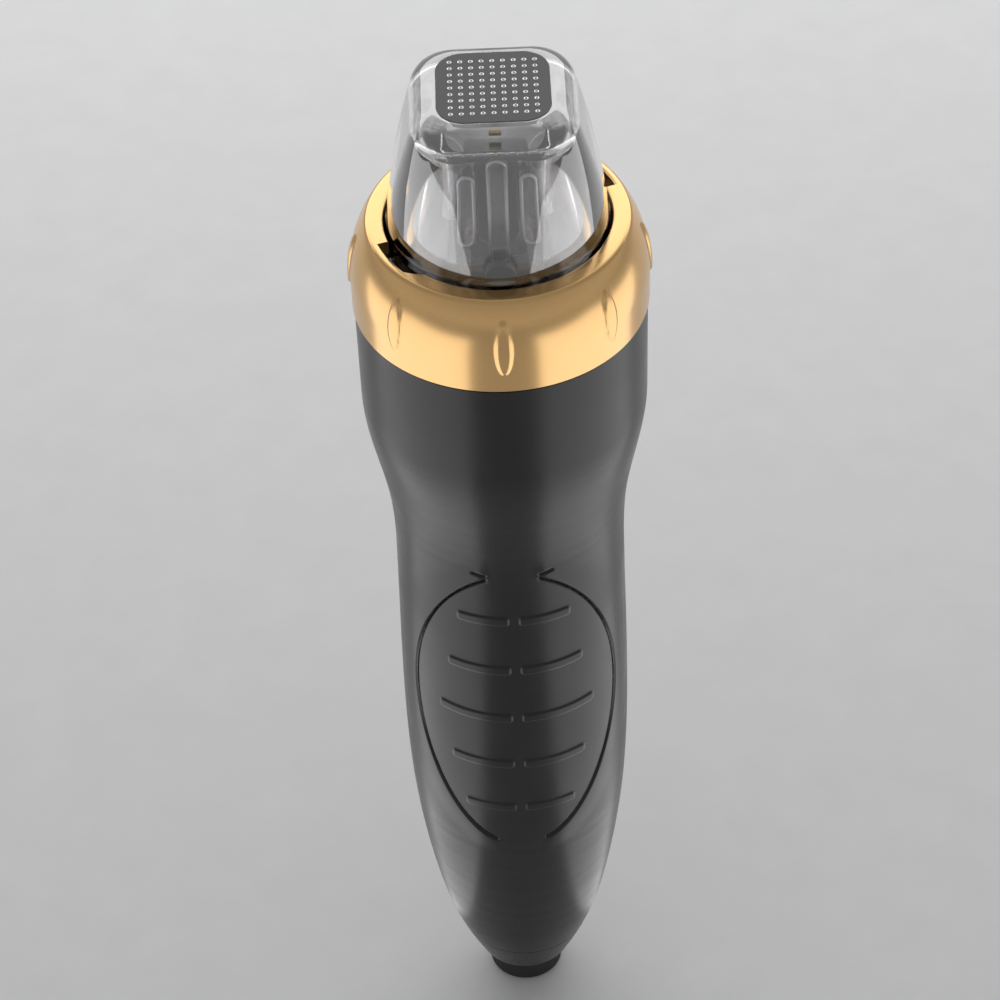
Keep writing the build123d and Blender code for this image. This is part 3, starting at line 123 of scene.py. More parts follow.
# Clear dome, in millimetres; heights are above the rim
DOME_LEVELS = (22.6, 14.0, 7.0, 0.6)
DOME_HALVES = (10.9, 13.4, 15.0, 16.05)
DOME_CORNERS = (0.55, 0.67, 0.833, 0.96)
DOME_TOP = DOME_LEVELS[0]
TOP_ROUND = 2.7
SKIRT_R = 16.2
SKIRT_LEVELS = (-2.6, 0.0, 0.4)
PLATE_HALF, PLATE_CORNER, PLATE_DEEP = 8.03, 4.03, 1.25
WINDOW_HALF, WINDOW_CORNER = 7.0, 3.0
CAVITY_LEVELS = (18.6, 7.0, -2.6)
CAVITY_HALVES = (10.0, 11.0, 12.6)
CAVITY_CORNERS = (0.45, 0.636, 0.794)
CAVITY_ROUND = 1.2
DOME_SIDES = 320
WALL_LOOPS, TOP_LOOPS, CAVITY_TOP_LOOPS, CAVITY_LOOPS = 40, 16, 8, 30
# Heights between which the dome clouds, in metres, the transmission that is left, and the clouds' grey
DOME_FROST = (RIM + 20.2 * MM, RIM + 21.6 * MM, 0.45, 0.22)
STRIP_CLEAR = (1.2 * MM, 2.6 * MM)   # the clouds come in between these distances from the middle

# Needles, and the bright eyelets that line the plate's holes
NEEDLE_ROWS = 9
NEEDLE_PITCH = 1.5 * MM
NEEDLE_R = 0.16 * MM
NEEDLE_TIP = 0.5 * MM
TIP_POWER = 1.4                # of the tip's curve: 1 is sharp, 2 is round
TIP_LEVELS = 7
NEEDLE_SIDES = 16
EYELET_R = 0.34 * MM
EYELET_BORE = 0.19 * MM
EYELET_DEEP = 0.5 * MM
EYELET_PROUD = 0.03 * MM
EYELET_ROUND = 0.3 * (EYELET_R - EYELET_BORE)

# Clear rails: middle, half width, low and high in millimetres, the heights above the rim
RAILS = ((0.0, 1.55, -0.6, 17.7), (-4.3, 1.3, 2.9, 15.1), (4.3, 1.3, 2.9, 15.1))
RAIL_RIM_R = 0.26 * MM
RAIL_RIM_INSET = 0.34          # from a rail's outline to the middle of its rim, in millimetres
RIM_SIDES, BEND_STEPS, STRAIGHT_STEPS = 14, 20, 12

# Materials
PATCH_SCALE, HAZE_SCALE = 90.0, 120.0     # cycles per metre
GLOSS_SPREAD = 0.05
GRAIN_BUMP, MARK_BUMP = 0.02 * MM, 0.01 * MM
PLASTIC_IOR = 1.49
COAT_ROUGH = 0.03
SMOOTH_ANGLE = 40.0
TINY = 1e-9                    # keeps divisions off zero


def new_material(name):
    """A material with a plain shader, its node tree and the shader."""
    material = bpy.data.materials.new(name)
    material.use_nodes = True
    tree = material.node_tree
    tree.nodes.clear()
    out = tree.nodes.new("ShaderNodeOutputMaterial")
    shader = tree.nodes.new("ShaderNodeBsdfPrincipled")
    tree.links.new(shader.outputs["BSDF"], out.inputs["Surface"])
    return material, tree, shader


def object_noise(tree, scale, detail=3.0):
    """Noise fixed to the object, with a scale in cycles per metre."""
    place = tree.nodes.new("ShaderNodeTexCoord")
    noise = tree.nodes.new("ShaderNodeTexNoise")
    noise.inputs["Scale"].default_value = scale
    noise.inputs["Detail"].default_value = detail
    tree.links.new(place.outputs["Object"], noise.inputs["Vector"])
    return noise.outputs["Fac"]


def math_node(tree, operation, *sources):
    """Value of a math node fed by the sources."""
    node = tree.nodes.new("ShaderNodeMath")
    node.operation = operation
    for source, socket in zip(sources, node.inputs):
        tree.links.new(source, socket)
    return node.outputs["Value"]


def ramp(tree, source, low, high, start=0.3, end=0.7):
    """Two-stop ramp; low and high are greys or colours."""
    node = tree.nodes.new("ShaderNodeValToRGB")
    node.color_ramp.elements[0].position = start
    node.color_ramp.elements[1].position = end
    for element, value in zip(node.color_ramp.elements, (low, high)):
        element.color = (*value, 1.0) if isinstance(value, tuple) else (value, value, value, 1.0)
    tree.links.new(source, node.inputs["Fac"])
    return node.outputs["Color"]


def bump(tree, shader, source, strength, distance):
    """Fine relief on a shader, from a height."""
    node = tree.nodes.new("ShaderNodeBump")
    node.inputs["Strength"].default_value = strength
    node.inputs["Distance"].default_value = distance
    tree.links.new(source, node.inputs["Height"])
    tree.links.new(node.outputs["Normal"], shader.inputs["Normal"])


def moulded(name, color, rough, grain=4200.0, depth=0.06, tint=0.1, specular=0.5):
    """Moulded plastic: fine spark-eroded grain, faint patches of colour and gloss."""
    material, tree, shader = new_material(name)
    patches = object_noise(tree, PATCH_SCALE)
    dark = tuple(c * (1 - tint) for c in color)
    light = tuple(c * (1 + tint) for c in color)
    tree.links.new(ramp(tree, patches, dark, light), shader.inputs["Base Color"])
    gloss = ramp(tree, patches, rough - GLOSS_SPREAD, rough + GLOSS_SPREAD)
    tree.links.new(gloss, shader.inputs["Roughness"])
    bump(tree, shader, object_noise(tree, grain, detail=2.0), depth, GRAIN_BUMP)
    shader.inputs["Specular IOR Level"].default_value = specular
    return material


def metal(name, color, rough, spread=0.04, scale=2500.0, depth=0.02, tint=0.08):
    """Metal with fine marks in its colour, gloss and height."""
    material, tree, shader = new_material(name)
    shader.inputs["Metallic"].default_value = 1.0
    marks = object_noise(tree, scale)
    dark = tuple(c * (1 - tint) for c in color)
    tree.links.new(ramp(tree, marks, dark, color), shader.inputs["Base Color"])
    tree.links.new(ramp(tree, marks, rough - spread, rough + spread), shader.inputs["Roughness"])
    bump(tree, shader, marks, depth, MARK_BUMP)
    return material


def cloud(tree, shader, color, low, high, clarity, grey):
    """Cloud clear plastic from one height to another, except in a band before the gold strip."""
    place = tree.nodes.new("ShaderNodeTexCoord")
    parts = tree.nodes.new("ShaderNodeSeparateXYZ")
    tree.links.new(place.outputs["Object"], parts.inputs["Vector"])
    across = math_node(tree, "ABSOLUTE", parts.outputs["X"])
    beside = ramp(tree, across, 0.0, 1.0, *STRIP_CLEAR)
    above = ramp(tree, parts.outputs["Z"], 0.0, 1.0, low, high)
    clouded = math_node(tree, "MULTIPLY", beside, above)
    left_clear = ramp(tree, clouded, 1.0, clarity, 0.0, 1.0)
    tree.links.new(left_clear, shader.inputs["Transmission Weight"])
    mix = tree.nodes.new("ShaderNodeMix")
    mix.data_type = "RGBA"
    mix.inputs["A"].default_value = (*color, 1.0)
    mix.inputs["B"].default_value = (grey, grey, grey, 1.0)
    tree.links.new(clouded, mix.inputs["Factor"])
    tree.links.new(mix.outputs["Result"], shader.inputs["Base Color"])


def clear(name, color, rough=0.02, coat=0.0, coat_ior=1.5, milk=0.0, frost=None):
    """Clear plastic with a faint haze; milk is how much of it is solid colour, frost where it clouds."""
    material, tree, shader = new_material(name)
    shader.inputs["Base Color"].default_value = (*color, 1.0)
    shader.inputs["Transmission Weight"].default_value = 1.0 - milk
    shader.inputs["IOR"].default_value = PLASTIC_IOR
    shader.inputs["Coat Weight"].default_value = coat
    shader.inputs["Coat IOR"].default_value = coat_ior
    shader.inputs["Coat Roughness"].default_value = COAT_ROUGH
    haze = object_noise(tree, HAZE_SCALE)
    tree.links.new(ramp(tree, haze, rough, rough * 2), shader.inputs["Roughness"])
    if frost:
        cloud(tree, shader, color, *frost)
    return material


MATERIALS = {
    "body_black": moulded("body_black", (0.009, 0.009, 0.0094), 0.3, specular=0.36),
    "button_black": moulded("button_black", (0.03, 0.03, 0.033), 0.42),
    "screw_black": metal("screw_black", (0.05, 0.05, 0.05), 0.4),
    "gland_rubber": moulded("gland_rubber", (0.02, 0.02, 0.02), 0.7, grain=2600.0, depth=0.2),
    "ring_gold": metal("ring_gold", (0.76, 0.48, 0.21), 0.22, spread=0.015, scale=3000.0, depth=0.006,
                       tint=0.03),
    "socket_black": moulded("socket_black", (0.03, 0.03, 0.034), 0.5),
    "spring_steel": metal("spring_steel", (0.62, 0.62, 0.63), 0.3),
    "board_green": moulded("board_green", (0.02, 0.13, 0.06), 0.35, grain=1800.0),
    "contact_gold": metal("contact_gold", (0.95, 0.66, 0.22), 0.2),
    "clear_smoke": clear("clear_smoke", (0.84, 0.84, 0.85), coat=1.0, coat_ior=2.3, frost=DOME_FROST),
    "clear_rail": clear("clear_rail", (0.95, 0.95, 0.96), coat=1.0, coat_ior=1.9, milk=0.06),
    "base_smoke": clear("base_smoke", (0.75, 0.73, 0.71), 0.05),
    "plate_grey": moulded("plate_grey", (0.14, 0.14, 0.144), 0.5, specular=0.3),
    "stem_dark": moulded("stem_dark", (0.02, 0.02, 0.024), 0.3),
    "needle_steel": metal("needle_steel", (0.95, 0.95, 0.96), 0.35),
    "plate_aluminium": metal("plate_aluminium", (0.76, 0.76, 0.78), 0.3),
    "bush_brass": metal("bush_brass", (0.75, 0.55, 0.25), 0.28),
    "motor_metal": metal("motor_metal", (0.5, 0.5, 0.52), 0.32),
    "chip_black": moulded("chip_black", (0.015, 0.015, 0.015), 0.55),
    "plug_cream": moulded("plug_cream", (0.72, 0.69, 0.58), 0.45),
    "lead_red": moulded("lead_red", (0.4, 0.03, 0.03), 0.45),
}

for subpart in frame["record"]["subparts"]:
    cad = nodes[subpart["node"]]
    cad.data.materials.clear()
    cad.data.materials.append(MATERIALS[subpart["material_slot"]])
    for polygon in cad.data.polygons:
        polygon.material_index = 0


def mesh_object(name, points, faces, slot, body):
    """A new piece with its material, riding on a body."""
    mesh = bpy.data.meshes.new(name)
    mesh.from_pydata([tuple(p) for p in points], [], faces)
    mesh.validate()
    piece = bpy.data.objects.new(name, mesh)
    bpy.context.scene.collection.objects.link(piece)
    mesh.materials.append(MATERIALS[slot])
    mesh.shade_smooth()
    mesh.set_sharp_from_angle(angle=math.radians(SMOOTH_ANGLE))
    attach(piece, body)
    return piece


def tree_of(node_name):
    """Ray-casting tree of a CAD node's mesh."""
    mesh = nodes[node_name].data
    return BVHTree.FromPolygons([v.co for v in mesh.vertices], [tuple(p.vertices) for p in mesh.polygons])


def smooth_step(x, low, high):
    """0 up to low, 1 from high on, and a soft step between them."""
    t = np.clip((x - low) / (high - low), 0, 1)
    return t * t * (3 - 2 * t)


def loop_faces(loops, sides, base=0, closed=True):
    """Faces between loops of points; closed also joins the last loop to the first."""
    faces = []
    for i in range(loops if closed else loops - 1):
        here, there = base + i * sides, base + (i + 1) % loops * sides
        for k in range(sides):
            nxt = (k + 1) % sides
            faces.append((here + k, here + nxt, there + nxt, there + k))
    return faces


# Front half of the body: the CAD skin's outline, with the pad's bars and crescents worked into it finely
SKIN_STEP = 0.2 * MM
SHELL_WALL = 2.2 * MM
NECK_INNER_R = 18.65 * MM      # inside the top, round the socket
NECK_DROP = 3.0 * MM           # depth of that wider part
NECK_STEP = 0.5 * MM
NECK_SLOPE = 4.0 * MM          # below it, the inside follows the skin again
INNER_ROWS = 40
SEAM_ROUND = 0.35 * MM
SEAM_TURN = 0.03               # half the parting gap, in degrees
SKIN_SHARP = 50.0
PLAIN_AZIMUTH = 80.0           # clear of the pad's bars and crescents
RAY_START = 0.05               # outside the body
END_GAP = 0.01 * MM            # keeps the rays off the shell's end faces
# Spans of azimuth in degrees, and their counts; closest where the crescents run upright
TURN_SPANS = ((0.0, 47.0, 77), (47.0, 61.0, 57), (61.0, 88.0, 22), (88.0, 90.0 - SEAM_TURN, 9))
LOW_ROWS, TOP_ROWS = 50, 60

shell_tree = tree_of("front_shell")


def skin_radius(z):
    """Radius of the CAD front shell at a height, read beside the pad."""
    turn = math.radians(PLAIN_AZIMUTH)
    out = Vector((math.sin(turn), -math.cos(turn), 0))
    hit = shell_tree.ray_cast(out * RAY_START + Vector((0, 0, z)), -out)[0]
    return math.hypot(hit.x, hit.y)


pad_low, pad_high = PAD_Z - PAD_HALF_H, PAD_Z + PAD_HALF_H
rows = np.concatenate([
    np.linspace(SHELL_LOW + END_GAP, pad_low, LOW_ROWS)[:-1],
    np.arange(pad_low, pad_high, SKIN_STEP),
    np.linspace(pad_high, SHELL_TOP - END_GAP, TOP_ROWS),
])
radii = np.array([skin_radius(z) for z in rows])
half_turns = np.unique(np.concatenate([np.linspace(*span) for span in TURN_SPANS]))
turns = np.radians(np.concatenate([-half_turns[:0:-1], half_turns]))


def bar_height(arc, z, radius):
    """Raised bars of the pad, each a rounded oblong with soft shoulders."""
    height = np.zeros_like(arc)
    for row in range(BAR_ROWS):
        step = row - (BAR_ROWS - 1) / 2
        bar_z = PAD_Z - step * BAR_PITCH
        reach = math.radians(BAR_REACH - BAR_SHRINK * abs(step)) * radius + BAR_HALF_H
        split = math.radians(BAR_SPLIT) * radius
        half_len = (reach - split) / 2
        middle = (reach + split) / 2
        off_arc = np.abs(np.abs(arc) - middle) - (half_len - BAR_CORNER)
        off_z = np.abs(z - bar_z) - (BAR_HALF_H - BAR_CORNER)
        outside = np.hypot(np.maximum(off_arc, 0), np.maximum(off_z, 0))
        inside = np.minimum(np.maximum(off_arc, off_z), 0)
        distance = outside + inside - BAR_CORNER
        height = np.maximum(height, BAR_PROUD * smooth_step(-distance, 0, BAR_SHOULDER))
    return height


def crescent_height(x, z):
    """Crease of a crescent, sharp inside, with the skin outside it rising softly to its edge."""
    up = (z - PAD_Z) / CRESCENT_HALF_H
    across = np.abs(x) / CRESCENT_HALF_W
    level = np.hypot(across, up) + TINY
    slope = np.hypot(across / CRESCENT_HALF_W, up / CRESCENT_HALF_H) / level
    distance = (level - 1) / slope
    end_share = 1 - smooth_step(np.abs(x), CRESCENT_OPEN, CRESCENT_OPEN + CREASE_END_REACH)
    half_w = CREASE_HALF_W + (CREASE_END_HALF_W - CREASE_HALF_W) * end_share
    beyond = np.maximum(CRESCENT_OPEN - np.abs(x), 0)
    from_line = np.hypot(distance, beyond)
    depth = CREASE_DEPTH * (CREASE_SIDE + (1 - CREASE_SIDE) * smooth_step(np.abs(up), *CREASE_SIDE_UP))
    crease = -depth * (1 - smooth_step(from_line, CREASE_EDGE[0] * half_w, CREASE_EDGE[1] * half_w))
    past_end = np.abs(x) - CRESCENT_OPEN
    ridge = RIDGE_RISE * (1 - smooth_step(distance, *RIDGE_REACH)) * (distance > 0)
    ridge = ridge * smooth_step(past_end, *RIDGE_FADE)
    end_up = CRESCENT_HALF_H * math.sqrt(1 - (CRESCENT_OPEN / CRESCENT_HALF_W) ** 2)
    along = np.clip(past_end, 0, HOOK_LEN)
    from_hook = np.hypot(past_end - along, z - PAD_Z - end_up - HOOK_RISE - HOOK_SLOPE * along)
    hook = -HOOK_DEPTH * (1 - smooth_step(from_hook, *HOOK_EDGE))
    return ridge + np.minimum(crease, hook)


grid_turn, grid_z = np.meshgrid(turns, rows)
grid_radius = np.repeat(radii[:, None], len(turns), axis=1)
arc = grid_turn * grid_radius
flat_x = grid_radius * np.sin(grid_turn)
near_front = np.abs(grid_turn) < math.radians(PAD_AZIMUTH)
lift = np.where(near_front, bar_height(arc, grid_z, grid_radius) + crescent_height(flat_x, grid_z), 0)
from_seam = (math.pi / 2 - np.abs(grid_turn)) * grid_radius
lift -= SEAM_ROUND * 0.5 * np.clip(1 - from_seam / SEAM_ROUND, 0, 1) ** 2
outer = grid_radius + lift


def ring_point(radius, turn, z):
    """Point at a radius and a turn from the front."""
    return (radius * math.sin(turn), -radius * math.cos(turn), z)


points, faces = [], []
count = len(turns)
for i, z in enumerate(rows):
    for j, turn in enumerate(turns):
        points.append(ring_point(outer[i, j], turn, z))
inner_rows = [(NECK_INNER_R, rows[-1]), (NECK_INNER_R, rows[-1] - NECK_DROP),
              (HEAD_R - SHELL_WALL, rows[-1] - NECK_DROP - NECK_STEP)]
for z in np.linspace(rows[-1] - NECK_DROP - NECK_SLOPE, rows[0], INNER_ROWS):
    inner_rows.append((skin_radius(z) - SHELL_WALL, z))
for radius, z in inner_rows:
    for turn in turns:
        points.append(ring_point(radius, turn, z))
total = len(rows) + len(inner_rows)
for i in range(total):
    nxt = (i + 1) % total
    for j in range(count - 1):
        faces.append((i * count + j, i * count + j + 1, nxt * count + j + 1, nxt * count + j))
front_skin = mesh_object("front_skin", points, faces, "body_black", "handle")
skin_mesh = bmesh.new()
skin_mesh.from_mesh(front_skin.data)
ends = bmesh.ops.holes_fill(skin_mesh, edges=[e for e in skin_mesh.edges if e.is_boundary], sides=0)
bmesh.ops.triangulate(skin_mesh, faces=ends["faces"])
bmesh.ops.recalc_face_normals(skin_mesh, faces=skin_mesh.faces)
skin_mesh.to_mesh(front_skin.data)
skin_mesh.free()
front_skin.data.set_sharp_from_angle(angle=math.radians(SKIN_SHARP))
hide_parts("front_shell")


def bend(start, corner, end, steps=6):
    """Points of a rounded corner, without its last point."""
    bent = []
    for k in range(steps):
        t = k / steps
        weights = ((1 - t) ** 2, 2 * t * (1 - t), t * t)
        bent.append(tuple(sum(w * p for w, p in zip(weights, place)) for place in zip(start, corner, end)))
    return bent


def lip_radius(turn):
    """Inner radius of the ring's lip, which two notches with ramps open."""
    for shift in (0.0, 180.0):
        angle = (math.degrees(turn) - shift + 180) % 360 - 180
        if NOTCHES[0] < angle <= NOTCHES[1]:
            return NOTCH_R
        if NOTCHES[1] < angle < NOTCHES[2]:
            share = (angle - NOTCHES[1]) / (NOTCHES[2] - NOTCHES[1])
            return NOTCH_R + share * (LIP_R - NOTCH_R)
    return LIP_R


def oval_height(turn, z):
    """Raised ovals on the ring's side, with soft shoulders."""
    step = 2 * math.pi / OVALS
    off = (turn + step / 2) % step - step / 2
    across, up = off * RING_R / OVAL_HALF_W, (z + OVAL_DROP) / OVAL_HALF_H
    size = math.hypot(across, up)
    if size >= 1:
        return 0.0
    slope = math.hypot(across / OVAL_HALF_W, up / OVAL_HALF_H) / max(size, TINY)
    share = min((1 - size) / max(slope, TINY) / OVAL_SHOULDER, 1.0)
    return OVAL_PROUD * share * share * (3 - 2 * share)


# Lock ring: dense turned form with the ovals on its outside and the notches in its lip
ring_turns = list(np.arange(-180.0, 180.0, RING_TURN_STEP))
for shift in (0.0, 180.0):
    for angle in NOTCHES:
        place = (angle + shift + 180) % 360 - 180
        ring_turns += [place - NOTCH_EDGE, place + NOTCH_EDGE]
ring_turns = np.radians(np.array(sorted(ring_turns)))
curve_r = ((RING_R - RIM_R) ** 2 + RING_CURVE ** 2) / (2 * (RING_R - RIM_R))
outside = [(RING_R - FOOT_BEVEL, -RING_HEIGHT), (RING_R, -RING_HEIGHT + FOOT_BEVEL)]
outside += [(RING_R, z) for z in np.linspace(-RING_HEIGHT + SIDE_START, -RING_CURVE, SIDE_LEVELS)[:-1]]
for z in np.linspace(-RING_CURVE, -RIM_ROUND, CURVE_LEVELS):
    outside.append((RING_R - curve_r + math.sqrt(curve_r ** 2 - (z + RING_CURVE) ** 2), z))
top_edge = (RIM_R - RIM_ROUND, 0.0)
outside = outside[:-1] + bend(outside[-1], (RIM_R, 0.0), top_edge)
points = []
for turn in ring_turns:
    lip = lip_radius(turn)
    points += [ring_point(radius + oval_height(turn, z), turn, RIM + z) for radius, z in outside]
    inner = [top_edge] + [(r, 0.0) for r in np.linspace(top_edge[0], lip + RIM_ROUND, LIP_STEPS)[1:-1]]
    inner += bend((lip + RIM_ROUND, 0.0), (lip, 0.0), (lip, -RIM_ROUND), LIP_STEPS)
    inner += [(lip, -RIM_ROUND), (lip, -LIP_H), (BAY_R, -LIP_H), (BAY_R, -LIP_H - BAY_H),
              (SLEEVE_R, -LIP_H - BAY_H), (SLEEVE_R, -GROOVE_TOP), (GROOVE_R, -GROOVE_TOP),
              (GROOVE_R, -GROOVE_FOOT), (SLEEVE_R, -GROOVE_FOOT), (SLEEVE_R, -RING_HEIGHT)]
    points += [ring_point(radius, turn, RIM + z) for radius, z in inner]
faces = loop_faces(len(ring_turns), len(outside) + len(inner))
gold_ring = mesh_object("gold_ring", points, faces, "ring_gold", "ring")
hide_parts("lock_ring")


def rounded_square(half_width, corner, z):
    """Loop of a square with rounded corners; sizes in millimetres, the height above the rim."""
    core = half_width - corner
    loop = []
    for k in range(DOME_SIDES):
        angle = 2 * math.pi * k / DOME_SIDES
        c, s = abs(math.cos(angle)), abs(math.sin(angle))
        if half_width * min(c, s) / max(c, s) <= core:
            reach = half_width / max(c, s)
        else:
            reach = core * (c + s) + math.sqrt(max(core * core * ((c + s) ** 2 - 2) + corner * corner, 0))
        loop.append((reach * math.cos(angle) * MM, reach * math.sin(angle) * MM, RIM + z * MM))
    return loop


def fitted(levels, values, z):
    """Smooth curve through values at levels."""
    return float(np.polyval(np.polyfit(levels, values, len(levels) - 1), z))


# Clear dome: one smooth outer skin that rounds over to the plate, and the cavity under it
dome = [rounded_square(SKIRT_R, SKIRT_R, z) for z in SKIRT_LEVELS]
shoulder = DOME_TOP - TOP_ROUND
for z in np.linspace(DOME_LEVELS[-1], shoulder, WALL_LOOPS)[:-1]:
    half_width = fitted(DOME_LEVELS, DOME_HALVES, z)
    dome.append(rounded_square(half_width, min(fitted(DOME_LEVELS, DOME_CORNERS, z), 1.0) * half_width, z))
for t in np.linspace(0, math.pi / 2, TOP_LOOPS):
    z = shoulder + TOP_ROUND * math.sin(t)
    half_width = fitted(DOME_LEVELS, DOME_HALVES, z) - TOP_ROUND * (1 - math.cos(t))
    corner = fitted(DOME_LEVELS, DOME_CORNERS, z) * half_width
    share = t / (math.pi / 2)
    dome.append(rounded_square(half_width, corner + share * (PLATE_CORNER - corner), z))
dome.append(rounded_square(PLATE_HALF, PLATE_CORNER, DOME_TOP))
dome.append(rounded_square(PLATE_HALF, PLATE_CORNER, DOME_TOP - PLATE_DEEP))
dome.append(rounded_square(WINDOW_HALF, WINDOW_CORNER, DOME_TOP - PLATE_DEEP))
dome.append(rounded_square(WINDOW_HALF, WINDOW_CORNER, CAVITY_LEVELS[0]))
for t in np.linspace(0, math.pi / 2, CAVITY_TOP_LOOPS):
    z = CAVITY_LEVELS[0] - CAVITY_ROUND * (1 - math.cos(t))
    half_width = fitted(CAVITY_LEVELS, CAVITY_HALVES, z) - CAVITY_ROUND * (1 - math.sin(t))
    dome.append(rounded_square(half_width, fitted(CAVITY_LEVELS, CAVITY_CORNERS, z) * half_width, z))
for z in np.linspace(CAVITY_LEVELS[0] - CAVITY_ROUND, CAVITY_LEVELS[-1], CAVITY_LOOPS)[1:]:
    half_width = fitted(CAVITY_LEVELS, CAVITY_HALVES, z)
    dome.append(rounded_square(half_width, fitted(CAVITY_LEVELS, CAVITY_CORNERS, z) * half_width, z))
points = [point for loop in dome for point in loop]
faces = loop_faces(len(dome), DOME_SIDES)
clear_dome = mesh_object("clear_dome", points, faces, "clear_smoke", "cartridge")
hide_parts("cartridge_shell")


def needle_spots():
    """Places of the needles over their square field."""
    middle = (NEEDLE_ROWS - 1) / 2
    places = [(k - middle) * NEEDLE_PITCH for k in range(NEEDLE_ROWS)]
    return [(x, y) for y in places for x in places]


def circles(x, y, profile):
    """Points of one circle about an upright axis for each radius and height."""
    places = []
    for radius, z in profile:
        for k in range(NEEDLE_SIDES):
            turn = 2 * math.pi * k / NEEDLE_SIDES
            places.append((x + radius * math.cos(turn), y + radius * math.sin(turn), z))
    return places


# Needles: pins with rounded points
needle_low, needle_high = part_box("needles")[0].z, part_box("needles")[1].z
profile = [(NEEDLE_R, needle_low), (NEEDLE_R, needle_high - NEEDLE_TIP)]
for t in np.linspace(0, 1, TIP_LEVELS)[1:-1]:
    profile.append((NEEDLE_R * math.sqrt(1 - t ** TIP_POWER), needle_high - NEEDLE_TIP * (1 - t)))
points, faces = [], []
for x, y in needle_spots():
    base = len(points)
    points += [(x, y, needle_low), *circles(x, y, profile), (x, y, needle_high)]
    first, tip = base + 1, len(points) - 1
    last = tip - NEEDLE_SIDES
    faces += loop_faces(len(profile), NEEDLE_SIDES, first, closed=False)
    for k in range(NEEDLE_SIDES):
        nxt = (k + 1) % NEEDLE_SIDES
        faces += [(base, first + nxt, first + k), (last + k, last + nxt, tip)]
needle_pins = mesh_object("needle_pins", points, faces, "needle_steel", "needle_unit")
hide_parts("needles")

# Eyelets round the needles, just proud of the plate
plate_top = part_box("face_plate")[1].z + EYELET_PROUD
section = [(EYELET_BORE, plate_top - EYELET_DEEP), (EYELET_R, plate_top - EYELET_DEEP),
           (EYELET_R, plate_top - EYELET_PROUD), (EYELET_R - EYELET_ROUND, plate_top),
           (EYELET_BORE + EYELET_ROUND, plate_top), (EYELET_BORE, plate_top - EYELET_PROUD)]
points, faces = [], []
for x, y in needle_spots():
    faces += loop_faces(len(section), NEEDLE_SIDES, len(points))
    points += circles(x, y, section)
mesh_object("eyelets", points, faces, "needle_steel", "cartridge")


def rail_path(middle, half_width, low, high):
    """Centre line round a rail: x, height and outward turn of each point."""
    reach = half_width - RAIL_RIM_INSET
    top, foot = high - half_width, low + half_width
    path = []
    for level, other, start in ((top, foot, 0.0), (foot, top, math.pi)):
        for turn in np.linspace(start, start + math.pi, BEND_STEPS + 1):
            path.append((middle + reach * math.cos(turn), level + reach * math.sin(turn), turn))
        for z in np.linspace(level, other, STRAIGHT_STEPS + 1)[1:-1]:
            path.append((middle - reach * math.cos(start), z, start + math.pi))
    return path


# Rims of the guide rails, one bead round each rail's front
rail_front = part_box("guide_rails")[0].y
points, faces = [], []
for rail in RAILS:
    path = rail_path(*rail)
    faces += loop_faces(len(path), RIM_SIDES, len(points))
    for x, z, turn in path:
        for k in range(RIM_SIDES):
            angle = 2 * math.pi * k / RIM_SIDES
            out = RAIL_RIM_R * math.cos(angle)
            points.append((x * MM + out * math.cos(turn), rail_front + RAIL_RIM_R * math.sin(angle),
                           RIM + z * MM + out * math.sin(turn)))
mesh_object("rail_rims", points, faces, "needle_steel", "cartridge")

# Return spring: a copy of the CAD spring, riding on the cartridge, with a mesh of its own
spring_mesh = nodes["cartridge_spring"].data
return_spring = mesh_object("return_spring", [v.co for v in spring_mesh.vertices],
                            [tuple(p.vertices) for p in spring_mesh.polygons], "spring_steel", "cartridge")
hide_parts("cartridge_spring")
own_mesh(return_spring)

# Floor
FLOOR_HALF = 3.0
floor_mesh = bpy.data.meshes.new("floor")
floor_corners = [(-FLOOR_HALF, -FLOOR_HALF, 0), (FLOOR_HALF, -FLOOR_HALF, 0),
                 (FLOOR_HALF, FLOOR_HALF, 0), (-FLOOR_HALF, FLOOR_HALF, 0)]
floor_mesh.from_pydata(floor_corners, [], [(0, 1, 2, 3)])
floor = bpy.data.objects.new("floor", floor_mesh)
bpy.context.scene.collection.objects.link(floor)
floor_paint = moulded("floor_paint", (0.8, 0.8, 0.81), 0.8, grain=300.0, depth=0.02, tint=0.02)
floor_mesh.materials.append(floor_paint)

# World: pale all round, a little darker above, with a soft glow high behind
HORIZON, ZENITH, GLOW = 0.52, 0.36, 0.4
RISE_SPAN = (0.1, 0.4)
GLOW_TOWARD = (0.0, 0.7, 0.714)
GLOW_SPAN = (0.78, 0.95)
world = bpy.data.worlds.new("studio")
bpy.context.scene.world = world
world.use_nodes = True
sky = world.node_tree
direction = sky.nodes.new("ShaderNodeTexCoord").outputs["Generated"]
split = sky.nodes.new("ShaderNodeSeparateXYZ")
sky.links.new(direction, split.inputs["Vector"])
toward = sky.nodes.new("ShaderNodeVectorMath")
toward.operation = "DOT_PRODUCT"
toward.inputs[1].default_value = GLOW_TOWARD
sky.links.new(direction, toward.inputs[0])
rise = ramp(sky, split.outputs["Z"], HORIZON, ZENITH, *RISE_SPAN)
glow = ramp(sky, toward.outputs["Value"], 0.0, GLOW, *GLOW_SPAN)
sky.links.new(math_node(sky, "ADD", rise, glow), sky.nodes["Background"].inputs["Color"])

# Lamps, in metres and watts
PANEL_START = (0.016, 0.007, 0.002)
PANEL_ALONG = (0.355, -0.935)
PANEL_LENGTH, PANEL_WIDTH = 0.65, 0.6
PANEL_POWER = 1.3
TOP_PLACE, TOP_TARGET = Vector((0.0, 0.64, 0.47)), Vector((0.0, 0.6, 0.0))
TOP_LENGTH, TOP_WIDTH = 1.2, 0.6
TOP_POWER = 3.0


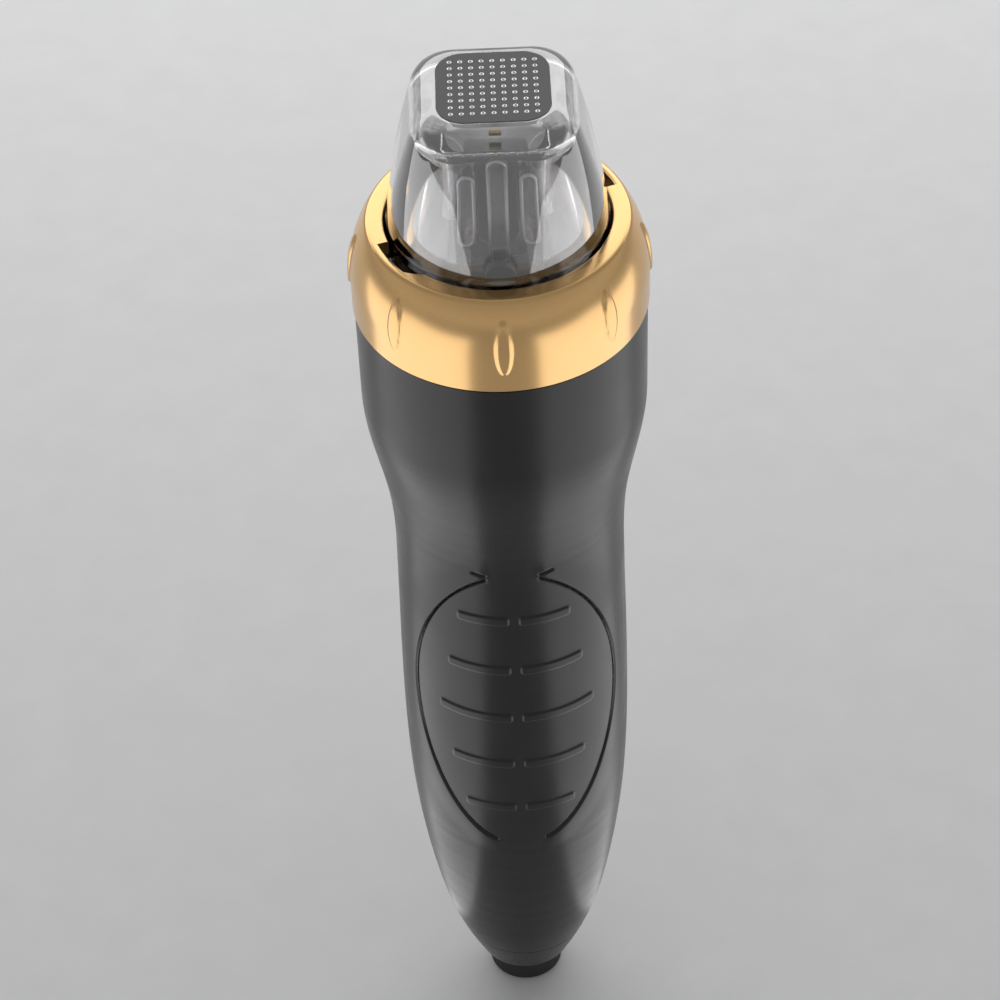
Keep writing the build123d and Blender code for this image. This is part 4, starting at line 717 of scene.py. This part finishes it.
def area_lamp(name, length, width, power, place, turn):
    """Rectangular lamp that shows only by its light and in reflections."""
    lamp = bpy.data.lights.new(name, "AREA")
    lamp.shape = "RECTANGLE"
    lamp.size, lamp.size_y = length, width
    lamp.energy = power
    box = bpy.data.objects.new(name, lamp)
    box.location = place
    box.rotation_euler = turn
    box.visible_camera = False
    bpy.context.scene.collection.objects.link(box)


def side_panel(name, side):
    """Lamp just over the floor that faces up beside the foot, for the long soft light on each flank."""
    along = Vector((PANEL_ALONG[0] * side, PANEL_ALONG[1], 0)).normalized()
    outward = Vector((-along.y * side, along.x * side, 0))
    up = Vector((0, 0, 1))
    start = Vector((PANEL_START[0] * side, PANEL_START[1], PANEL_START[2]))
    turn = Matrix((along, -up.cross(along), -up)).transposed().to_euler()
    place = start + along * PANEL_LENGTH / 2 + outward * PANEL_WIDTH / 2
    area_lamp(name, PANEL_LENGTH, PANEL_WIDTH, PANEL_POWER, place, turn)


side_panel("left_panel", -1)
side_panel("right_panel", 1)
top_turn = (TOP_TARGET - TOP_PLACE).to_track_quat("-Z", "Y").to_euler()
area_lamp("top_box", TOP_LENGTH, TOP_WIDTH, TOP_POWER, TOP_PLACE, top_turn)

# Camera at the photograph's angle
AIM = Vector((-0.0014, 0.0, 0.1173))
CAMERA_ELEVATION = math.radians(44.51)
CAMERA_ROLL = math.radians(-2.38)
CAMERA_DISTANCE = 0.4726
FOCAL_LENGTH = 108.0
SENSOR = 36.0
camera_data = bpy.data.cameras.new("camera")
camera_data.lens = FOCAL_LENGTH
camera_data.sensor_width = SENSOR
camera = bpy.data.objects.new("camera", camera_data)
bpy.context.scene.collection.objects.link(camera)
back = Vector((0, -math.cos(CAMERA_ELEVATION), math.sin(CAMERA_ELEVATION)))
camera.location = AIM + back * CAMERA_DISTANCE
facing = (-back).to_track_quat("-Z", "Y").to_matrix()
camera.rotation_euler = (facing @ Matrix.Rotation(CAMERA_ROLL, 3, "Z")).to_euler()
bpy.context.scene.camera = camera
bpy.context.scene.view_settings.view_transform = "Standard"
